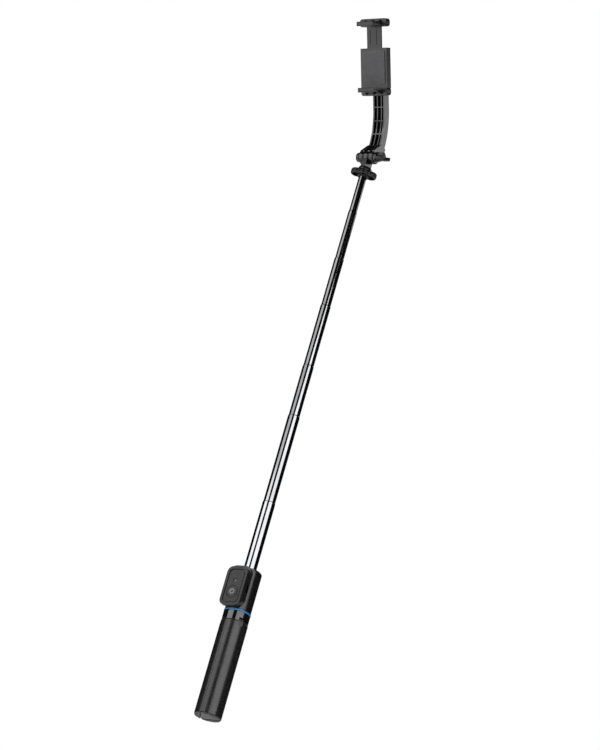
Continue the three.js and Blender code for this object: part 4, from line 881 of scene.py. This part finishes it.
def arm_band(front, back, low, steps=28):
    """The strip between two offsets from the centreline, up from a low end and round the bend."""
    angles = [ARM_TILT * k / steps for k in range(steps + 1)]
    outer = [arm_point(back, angle) for angle in angles] + [arm_point(back, ARM_TILT, ARM_STRAIGHT)]
    inner = [arm_point(front, ARM_TILT, ARM_STRAIGHT)] + [arm_point(front, angle) for angle in angles[::-1]]
    return [(outer[0][0], low)] + outer + inner + [(inner[-1][0], low)]


def cross_rib(length):
    """One thin rib across the channel at a length along the centreline."""
    angle = min(length / ARM_BEND_RADIUS, ARM_TILT)
    along = max(0.0, length - ARM_BEND_RADIUS * ARM_TILT)
    half = 0.5
    front, back = 0.5 - ARM_HALF_DEPTH, ARM_HALF_DEPTH - 1
    corners = [
        arm_point(back, angle, along - half), arm_point(back, angle, along + half),
        arm_point(front, angle, along + half), arm_point(front, angle, along - half),
    ]
    return prism(corners, 1 - ARM_HALF_WIDTH, ARM_HALF_WIDTH - 1, "X", 0.12, 2)


def make_prong(side):
    """One side of the arm's fork: a round eye on the tilt bolt and a web up to the arm."""
    low, high = sorted((side * PRONG_INNER, side * PRONG_OUTER))
    front, back = ARM_BEHIND - ARM_HALF_DEPTH, ARM_BEHIND + ARM_HALF_DEPTH
    web = prism(
        outline([
            (-6, 5.3), (5.6, -5.7), (back, ARM_BEND_START - 8, 1.5), (back, ARM_BEND_START + 1),
            (front, ARM_BEND_START + 1)]),
        low, high, "X", 0.35)
    return join(web, rod("X", BARREL_RADIUS, low, high, (0, 0), HINGE_SOFT, MEDIUM))


def make_arm():
    """A curved channel open to the front with long and cross ribs, a fork below and a boss above."""
    low = ARM_BEND_START - 5
    wall, rib, rib_out = 1.6, 0.5, 2.5
    half, depth = ARM_HALF_WIDTH, ARM_HALF_DEPTH
    whole = arm_band(-depth, depth, low)
    ribs = arm_band(1.2 - depth, depth - wall / 2, low)
    boss_centre = arm_point(0, ARM_TILT, ARM_STRAIGHT)
    at_boss = shift(0, *boss_centre) @ Matrix.Rotation(ARM_TILT, 4, "X")
    fork = block(
        (-PRONG_OUTER, ARM_BEHIND - depth, low),
        (PRONG_OUTER, ARM_BEHIND + depth, ARM_BEND_START + 1), 0.5)
    arm = join(
        prism(arm_band(depth - wall, depth, low), -half, half, "X", 0.35),
        prism(whole, -half, wall - half, "X", 0.35),
        prism(whole, half - wall, half, "X", 0.35),
        prism(ribs, -rib_out - rib, rib - rib_out, "X", 0.15, 2),
        prism(ribs, rib_out - rib, rib_out + rib, "X", 0.15, 2),
        fork,
        make_prong(1),
        make_prong(-1),
        moved(rod("Y", half, -depth, depth, (0, 0), 0.4, MEDIUM), at_boss),
    )
    count = 5
    spacing = (ARM_BEND_RADIUS * ARM_TILT + ARM_STRAIGHT - half) / (count + 1)
    arm = join(arm, *(cross_rib(i * spacing) for i in range(1, count + 1)))
    # The pocket above the hinge keeps two slanting ribs.
    front = ARM_BEHIND - depth
    pocket = block((-6.6, front - 1, low + 0.9), (2.6, front + 1.5, ARM_BEND_START), 0.2)
    high = ARM_BEND_START + 1
    slants = []
    for start in (-5.6, -2.2):
        corners = [(low, start), (low, start + 1.1), (high, start + 4.6), (high, start + 3.5)]
        slants.append(prism(corners, front - 2, front + 3, "Y"))
    pocket = cut(pocket, *slants)
    pivot_bore = moved(rod("Y", PIVOT_HOLE, -9, 9, segments=48), at_boss)
    counterbore = moved(rod("Y", 5.4, depth - 0.5, depth + 2, segments=64), at_boss)
    return cut(arm, pocket, pivot_bore, counterbore, rod("X", BOLT_HOLE, -20, 20))


# ---- Phone clamp ----

CLAMP_CENTRE = arm_point(-ARM_HALF_DEPTH - CLAMP_TO_ARM - CLAMP_DEPTH, ARM_TILT, ARM_STRAIGHT)
CLAMP = HINGE @ shift(0, *CLAMP_CENTRE) @ Matrix.Rotation(ARM_TILT, 4, "X")


def make_jaw():
    """A rounded block whose hook reaches over the phone's edge on three gussets."""
    body = prism(
        outline(rectangle(2 * CLAMP_HALF_WIDTH, JAW_HEIGHT, 3, JAW_HALF_HEIGHT - JAW_HEIGHT / 2), 8),
        0, CLAMP_DEPTH, "Y", 0.7, 4)
    lip_front, lip_back = -HOOK_REACH, 2 - HOOK_REACH
    lip_low = HOOK_TOP - 5
    hook = prism(
        outline([
            (1, HOOK_UNDER), (1, HOOK_TOP), (lip_front, HOOK_TOP, 1.2), (lip_front, lip_low, 0.9),
            (lip_back, lip_low, 0.7), (lip_back, HOOK_UNDER, 0.8)], 6),
        -HOOK_HALF, HOOK_HALF, "X", 0.35)
    gusset = 1.6
    corners = [(0.5, HOOK_TOP - 1), (0.5, JAW_HALF_HEIGHT - 1), (-5, HOOK_TOP - 0.1)]
    gussets = [
        prism(corners, low, low + gusset, "X") for low in (-HOOK_HALF, HOOK_HALF - gusset, -gusset / 2)
    ]
    jaw = join(body, hook, *gussets)
    # A shallow frame line on the front of the lip.
    frame_low, frame_high = lip_low + 0.8, HOOK_TOP - 1.1
    line = prism(
        outline(rectangle(2 * HOOK_HALF - 3, frame_high - frame_low, 0.7, (frame_low + frame_high) / 2)),
        lip_front - 1, lip_front + 0.18, "Y")
    return cut(jaw, line)


def make_upper_jaw():
    """The upper jaw with its slider and the two pegs that hold the springs."""
    half, front = 9, 1.9
    back = front + 2.2
    slider_bottom = 14.9 - JAW_INNER
    slider = block((-half, front, slider_bottom), (half, back, JAW_INNER + 1), 0.3)
    peg_height = 6
    pegs = [
        rod("Y", 0.7, back - 0.5, 6.8, (side * SPRING_OUT, peg_height), 0.15, 24) for side in (-1, 1)
    ]
    jaw = join(make_jaw(), slider, *pegs)
    # Two long flutes down the part of the slider that shows between the jaws.
    flute_out, flute_half = 4, 1.1
    flutes = []
    for x in (-flute_out, flute_out):
        low = (x - flute_half, front - 1, BASE_TOP + 4)
        high = (x + flute_half, front + 0.5, JAW_INNER - 3)
        flutes.append(block(low, high, 0.25))
    return cut(jaw, *flutes)


def make_base():
    """The base shell, open at the back, with the lower jaw, rails, screw posts and spring tabs."""
    half = CLAMP_HALF_WIDTH
    wall = 1.6
    low = -JAW_INNER
    body = prism(
        [(-half, 0), (half, 0), (half, CLAMP_DEPTH), (-half, CLAMP_DEPTH)], low - 1, BASE_TOP, "Z", 0.7, 4)
    channel = block((wall - half, wall, low), (half - wall, CLAMP_DEPTH + 1, BASE_TOP + 1))
    post_back = CLAMP_DEPTH - 1.8
    root = 0.5
    tab_half = 0.85
    inside = []
    holes = []
    for side in (-1, 1):
        rail = sorted((side * 9.3, side * 10.2))
        tab = side * SPRING_OUT
        at_screw = (side * COVER_SCREW_OUT, COVER_SCREW_HEIGHT)
        inside.append(block((rail[0], wall - root, low - root), (rail[1], post_back, BASE_TOP)))
        inside.append(rod("Y", 2, wall - root, post_back, at_screw, 0.2, 32))
        inside.append(block((tab - tab_half, 4.3, low - root), (tab + tab_half, post_back, low + 2), 0.15))
        holes.append(rod("Y", SCREW_HOLE, wall + 1, CLAMP_DEPTH + 1, at_screw, segments=24))
    shell = join(cut(body, channel), moved(make_jaw(), MIRROR_Z), *inside)
    return cut(shell, *holes)


def make_cover():
    """The back cover, with the pivot's bore, two screw holes and four grooves across its lower half."""
    half = CLAMP_HALF_WIDTH - 1.9
    front = CLAMP_DEPTH - 1.7
    plate = block((-half, front, GAP - JAW_INNER), (half, CLAMP_DEPTH, BASE_TOP), 0.3)
    tools = [rod("Y", PIVOT_HOLE, front - 1, CLAMP_DEPTH + 1, segments=48)]
    for side in (-1, 1):
        at_screw = (side * COVER_SCREW_OUT, COVER_SCREW_HEIGHT)
        tools.append(rod("Y", SCREW_HOLE, front - 1, CLAMP_DEPTH + 1, at_screw, segments=24))
        tools.append(rod("Y", SCREW_HEAD_HOLE, CLAMP_DEPTH - 1, CLAMP_DEPTH + 1, at_screw))
    groove_half, groove_depth, long_half = 0.45, 0.35, 8
    for i in range(4):
        z = -16 - 3 * i
        tools.append(block(
            (-long_half, CLAMP_DEPTH - groove_depth, z - groove_half),
            (long_half, CLAMP_DEPTH + 1, z + groove_half), 0.1, 2))
    return cut(plate, *tools)


def across(low, high, count):
    """Evenly spaced places between two ends, the ends left out."""
    step = (high - low) / (count + 1)
    return [low + i * step for i in range(1, count + 1)]


def make_hook_pad():
    """A soft pad under the hook, ribbed across so that the phone doesn't slide."""
    half = HOOK_HALF - 1.2
    high = HOOK_UNDER - GAP
    low = high - 0.8
    back = -GAP
    front = 3.2 - HOOK_REACH
    pad = block((-half, front, low), (half, back, high), 0.2)
    groove = 0.22
    grooves = [
        block((-half - 1, y - groove, low - 1), (half + 1, y + groove, low + groove))
        for y in across(front, back, 9)
    ]
    return cut(pad, *grooves)


def make_back_pad():
    """A soft pad on the front of the base, ribbed across."""
    half = CLAMP_HALF_WIDTH - 2.4
    low, high = 3 - JAW_INNER, BASE_TOP - 3
    pad = prism(
        outline(rectangle(2 * half, high - low, 2.5, (low + high) / 2), 8), -GAP - 0.8, -GAP, "Y", 0.25)
    groove, end = 0.35, half - 1.6
    grooves = [
        block((-end, -3, z - groove), (end, -GAP - 0.55, z + groove), 0.1, 2)
        for z in across(low, high, 11)
    ]
    return cut(pad, *grooves)


def make_spring(side):
    """A close tension coil between the base's tab and the slider's peg."""
    turns, steps, sides, wire, radius = 8, 20, 8, 0.26, 0.85
    bm = bmesh.new()
    rings = []
    for k in range(turns * steps + 1):
        t = k / (turns * steps)
        angle = 2 * math.pi * turns * t
        out = Vector((math.cos(angle), math.sin(angle), 0))
        up = Vector((0, 0, 1))
        centre = out * radius + up * (SPRING_BOTTOM + (SPRING_TOP - SPRING_BOTTOM) * t)
        spread = [2 * math.pi * i / sides for i in range(sides)]
        rings.append([bm.verts.new(centre + (out * math.cos(a) + up * math.sin(a)) * wire) for a in spread])
    bridge(bm, rings)
    bm.faces.new(rings[0])
    bm.faces.new(rings[-1])
    return moved(to_object(bm), shift(side * SPRING_OUT, SPRING_MIDDLE, 0))


def make_pivot_screw():
    """The slotted screw that the clamp turns on, its head behind the arm."""
    low = CLAMP_DEPTH + CLAMP_TO_ARM + 2 * ARM_HALF_DEPTH + GAP
    high = low + 1.6
    radius, slot_half = 4.6, 0.5
    head = turned([(0, low), (radius, low, 0.2), (radius, high, 0.6), (0, high)], 64)
    shank = rod("Y", PIVOT_RADIUS, 4.4, low + 0.5, soft=0.2, segments=48)
    slot = block((-6, low + 0.9, -slot_half), (6, low + 3, slot_half))
    return cut(join(moved(head, STAND["Y"]), shank), slot)


def make_pivot_nut():
    high = CLAMP_DEPTH - 1.8
    nut = rod("Y", 4, high - 2, high, segments=6)
    return cut(nut, rod("Y", PIVOT_HOLE, 0, CLAMP_DEPTH))


def make_pivot_washer():
    """A washer in the middle of the space between clamp and arm."""
    thickness = 0.6
    low = CLAMP_DEPTH + (CLAMP_TO_ARM - thickness) / 2
    washer = rod("Y", 6.2, low, low + thickness, soft=0.15, segments=64)
    return cut(washer, rod("Y", PIVOT_HOLE, 0, 20))


def make_screw(head_start, head_end, tip, at):
    """A small pan-headed screw along Y with a cross recess in its outer face."""
    outward = math.copysign(1, head_end - head_start)
    head = rod("Y", SCREW_HEAD, *sorted((head_start, head_end)), at, 0.3)
    shank = rod("Y", SCREW_SHANK, *sorted((tip, head_start + 0.2 * outward)), at, 0.15, 24)
    screw = join(head, shank)
    low, high = sorted((head_end - 0.45 * outward, head_end + outward))
    x, z = at
    reach, half = 1.1, 0.2
    return cut(
        screw,
        block((x - reach, low, z - half), (x + reach, high, z + half)),
        block((x - half, low, z - reach), (x + half, high, z + reach)),
    )


# ---- Everything in its place ----

for side_name, degrees in LEG_ANGLES.items():
    turn = STICK @ spin(degrees)
    leg_name = f"leg_{side_name}"
    finish_piece(make_leg(), leg_name, leg_name, "satin_plastic", turn)
    finish_piece(make_foot(), f"foot_{side_name}", leg_name, "foot_rubber", turn)
    finish_piece(make_leg_pin(), f"leg_pin_{side_name}", "handle", "steel", turn)

finish_piece(make_hub(), "leg_hub", "handle", "gloss_plastic")
finish_piece(make_ring(), "accent_ring", "handle", "accent_plastic")
finish_piece(make_housing(), "upper_housing", "handle", "satin_plastic")
finish_piece(make_collar(), "housing_collar", "handle", "gloss_plastic")
finish_piece(make_cradle(), "remote_cradle", "handle", "satin_plastic")
for level, screw_offset in (("lower", -CRADLE_SCREW_OFFSET), ("upper", CRADLE_SCREW_OFFSET)):
    cradle_screw = make_screw(CRADLE_FLOOR + 1, CRADLE_FLOOR, -8.6, (0, REMOTE_CENTRE + screw_offset))
    finish_piece(cradle_screw, f"cradle_screw_{level}", "handle", "steel")

finish_piece(make_remote_front(), "remote_front", "remote", "satin_plastic", look="remote_satin")
finish_piece(make_remote_back(), "remote_back", "remote", "satin_plastic", look="remote_satin")
finish_piece(make_lens(), "indicator_lens", "remote", "lens")
finish_piece(make_button(), "shutter_button", "button", "button_plastic")
finish_piece(
    make_button_icon(), "shutter_button", "button", "button_plastic", name="button_icon", look="print")

for section in range(1, 8):
    finish_piece(make_tube(section), f"tube_{section}", f"section_{section}", "pole_metal")
finish_piece(make_ferrule(), "pole_ferrule", "section_1", "steel", look="blackened_steel")

finish_piece(make_pan_nut(), "pan_nut", "pan_nut", "satin_plastic")
finish_piece(make_swivel(), "swivel_head", "swivel", "gloss_plastic", HINGE)
washer = make_washer()
finish_piece(copy_of(washer, MIRROR_X), "tilt_washer_cap", "arm", "steel", HINGE)
finish_piece(washer, "tilt_washer_knob", "arm", "steel", HINGE)
finish_piece(make_cap_nut(), "tilt_cap_nut", "arm", "gloss_plastic", HINGE)
finish_piece(make_knob(), "tilt_knob", "tilt_knob", "satin_plastic", HINGE)
finish_piece(make_arm(), "curved_arm", "arm", "gloss_plastic", HINGE)

finish_piece(make_base(), "clamp_base", "clamp", "satin_plastic", CLAMP)
finish_piece(make_cover(), "clamp_cover", "clamp", "satin_plastic", CLAMP)
finish_piece(make_upper_jaw(), "clamp_jaw", "jaw", "satin_plastic", CLAMP)
hook_pad = make_hook_pad()
lower_pad = finish_piece(copy_of(hook_pad, MIRROR_Z), "jaw_pad_lower", "clamp", "pad_rubber", CLAMP)
upper_pad = finish_piece(hook_pad, "jaw_pad_upper", "jaw", "pad_rubber", CLAMP)
back_pad = finish_piece(make_back_pad(), "back_pad", "clamp", "pad_rubber", CLAMP)
for side_name, side in (("left", -1), ("right", 1)):
    spring = finish_piece(make_spring(side), f"clamp_spring_{side_name}", None, "steel", CLAMP)
    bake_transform(spring)
    at_screw = (side * COVER_SCREW_OUT, COVER_SCREW_HEIGHT)
    cover_screw = make_screw(CLAMP_DEPTH - 0.9, CLAMP_DEPTH, 2.7, at_screw)
    finish_piece(cover_screw, f"cover_screw_{side_name}", "clamp", "steel", CLAMP)
finish_piece(make_pivot_screw(), "pivot_screw", "clamp", "steel", CLAMP)
finish_piece(make_pivot_nut(), "pivot_nut", "clamp", "steel", CLAMP)
finish_piece(make_pivot_washer(), "pivot_washer", "clamp", "nylon", CLAMP)

# The CAD nodes that stay are mostly hidden: they keep their shape, with edges eased a little.
for node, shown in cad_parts.items():
    if shown.hide_render:
        continue
    shown.data.materials[0] = LOOKS[shown.data.materials[0].name.split(".")[0]]
    shown.modifiers.new("joined_faces", "WELD")
    eased = shown.modifiers.new("eased_edges", "BEVEL")
    eased.width = 0.08 * MM
    eased.segments = 2
    eased.limit_method = "ANGLE"
    eased.angle_limit = CREASE


# ---- Camera, light and floor ----

def camera_at(right, up, back, place, lens):
    camera = linked("camera", bpy.data.cameras.new("camera"))
    turn = Matrix((right, up, back)).transposed().to_4x4()
    camera.matrix_world = Matrix.Translation(place) @ turn
    camera.data.lens = lens
    camera.data.sensor_width = 36
    camera.data.clip_start = 0.01
    bpy.context.scene.camera = camera


VIEW_RIGHT = Vector((0.85321, 0.45451, 0.25583)).normalized()
VIEW_BACK = Vector((0.52121, -0.76120, -0.38591)).normalized()
VIEW_UP = VIEW_BACK.cross(VIEW_RIGHT)
RING_PLACE = Vector((0, 0, (cad("accent_ring")[0].z + cad("accent_ring")[1].z) / 2 + GROUND)) * MM
AIM_RIGHT, AIM_UP, DISTANCE = 0.0645, 0.2453, 2.880  # metres from the ring
LENS_LENGTH = 134.4
CAMERA_PLACE = RING_PLACE + AIM_RIGHT * VIEW_RIGHT + AIM_UP * VIEW_UP + DISTANCE * VIEW_BACK
camera_at(VIEW_RIGHT, VIEW_UP, VIEW_BACK, CAMERA_PLACE, LENS_LENGTH)


AIM_HEIGHT = 0.35  # metres, about the middle of the pole


def softbox(name, azimuth, height, distance, width, tall, strength, shape="RECTANGLE"):
    """A soft panel facing the pole's middle, at an azimuth measured from -Y towards +X."""
    light = bpy.data.lights.new(name, "AREA")
    light.shape = shape
    light.size = width
    light.size_y = tall
    light.energy = strength
    lamp = linked(name, light)
    lamp.visible_camera = False
    angle = math.radians(azimuth)
    place = Vector((math.sin(angle) * distance, -math.cos(angle) * distance, height))
    aim = (place - Vector((0, 0, AIM_HEIGHT))).to_track_quat("Z", "Y").to_matrix().to_4x4()
    lamp.matrix_world = Matrix.Translation(place) @ aim


PANELS = (
    # name, azimuth in degrees, height, distance, width and tallness in metres, watts
    ("key_panel", 60, 0.85, 2.4, 2.9, 1.3, 31, "ELLIPSE"),
    ("left_panel", -24, 0.44, 2.4, 2.1, 2.78, 29),
    ("left_strip", -24, 0.91, 2.38, 2.1, 0.42, 5),
    ("rim_panel", 205, 1.3, 2.6, 1.2, 2.2, 6),
    ("side_panel", 146, 1.85, 2.4, 0.9, 0.3, 1.2),
)
for panel in PANELS:
    softbox(*panel)
overhead = bpy.data.lights.new("overhead", "SUN")
overhead.energy = 2.6
overhead.angle = math.radians(40)
linked("overhead", overhead)

world = bpy.data.worlds.new("studio")
bpy.context.scene.world = world
world.use_nodes = True
nodes, links = world.node_tree.nodes, world.node_tree.links
surround = nodes["Background"]
surround.inputs["Color"].default_value = (1, 1, 1, 1)
surround.inputs["Strength"].default_value = 0.008
backdrop = nodes.new("ShaderNodeBackground")
backdrop.inputs["Color"].default_value = (1, 1, 1, 1)
backdrop.inputs["Strength"].default_value = 1.0
either = nodes.new("ShaderNodeMixShader")
links.new(nodes.new("ShaderNodeLightPath").outputs["Is Camera Ray"], either.inputs["Fac"])
links.new(surround.outputs["Background"], either.inputs[1])
links.new(backdrop.outputs["Background"], either.inputs[2])
links.new(either.outputs["Shader"], nodes["World Output"].inputs["Surface"])
bpy.context.scene.view_settings.view_transform = "Standard"

FLOOR_HEIGHT = -1.15
FLOOR_HALF = 6
bm = bmesh.new()
bmesh.ops.create_grid(bm, x_segments=2, y_segments=2, size=FLOOR_HALF)
floor = to_object(bm)
floor.name = "floor"
moved(floor, shift(0, 0, FLOOR_HEIGHT))
pale = Look("pale_floor", Specular_IOR_Level=0.2)
pale.color(pale.blend(pale.spread(pale.noise(400, 3), 0, 1), (0.78, 0.78, 0.78), (0.84, 0.84, 0.84)))
pale.roughness(pale.spread(pale.noise(60, 3), 0.6, 0.8))
floor.data.materials.append(pale.material)
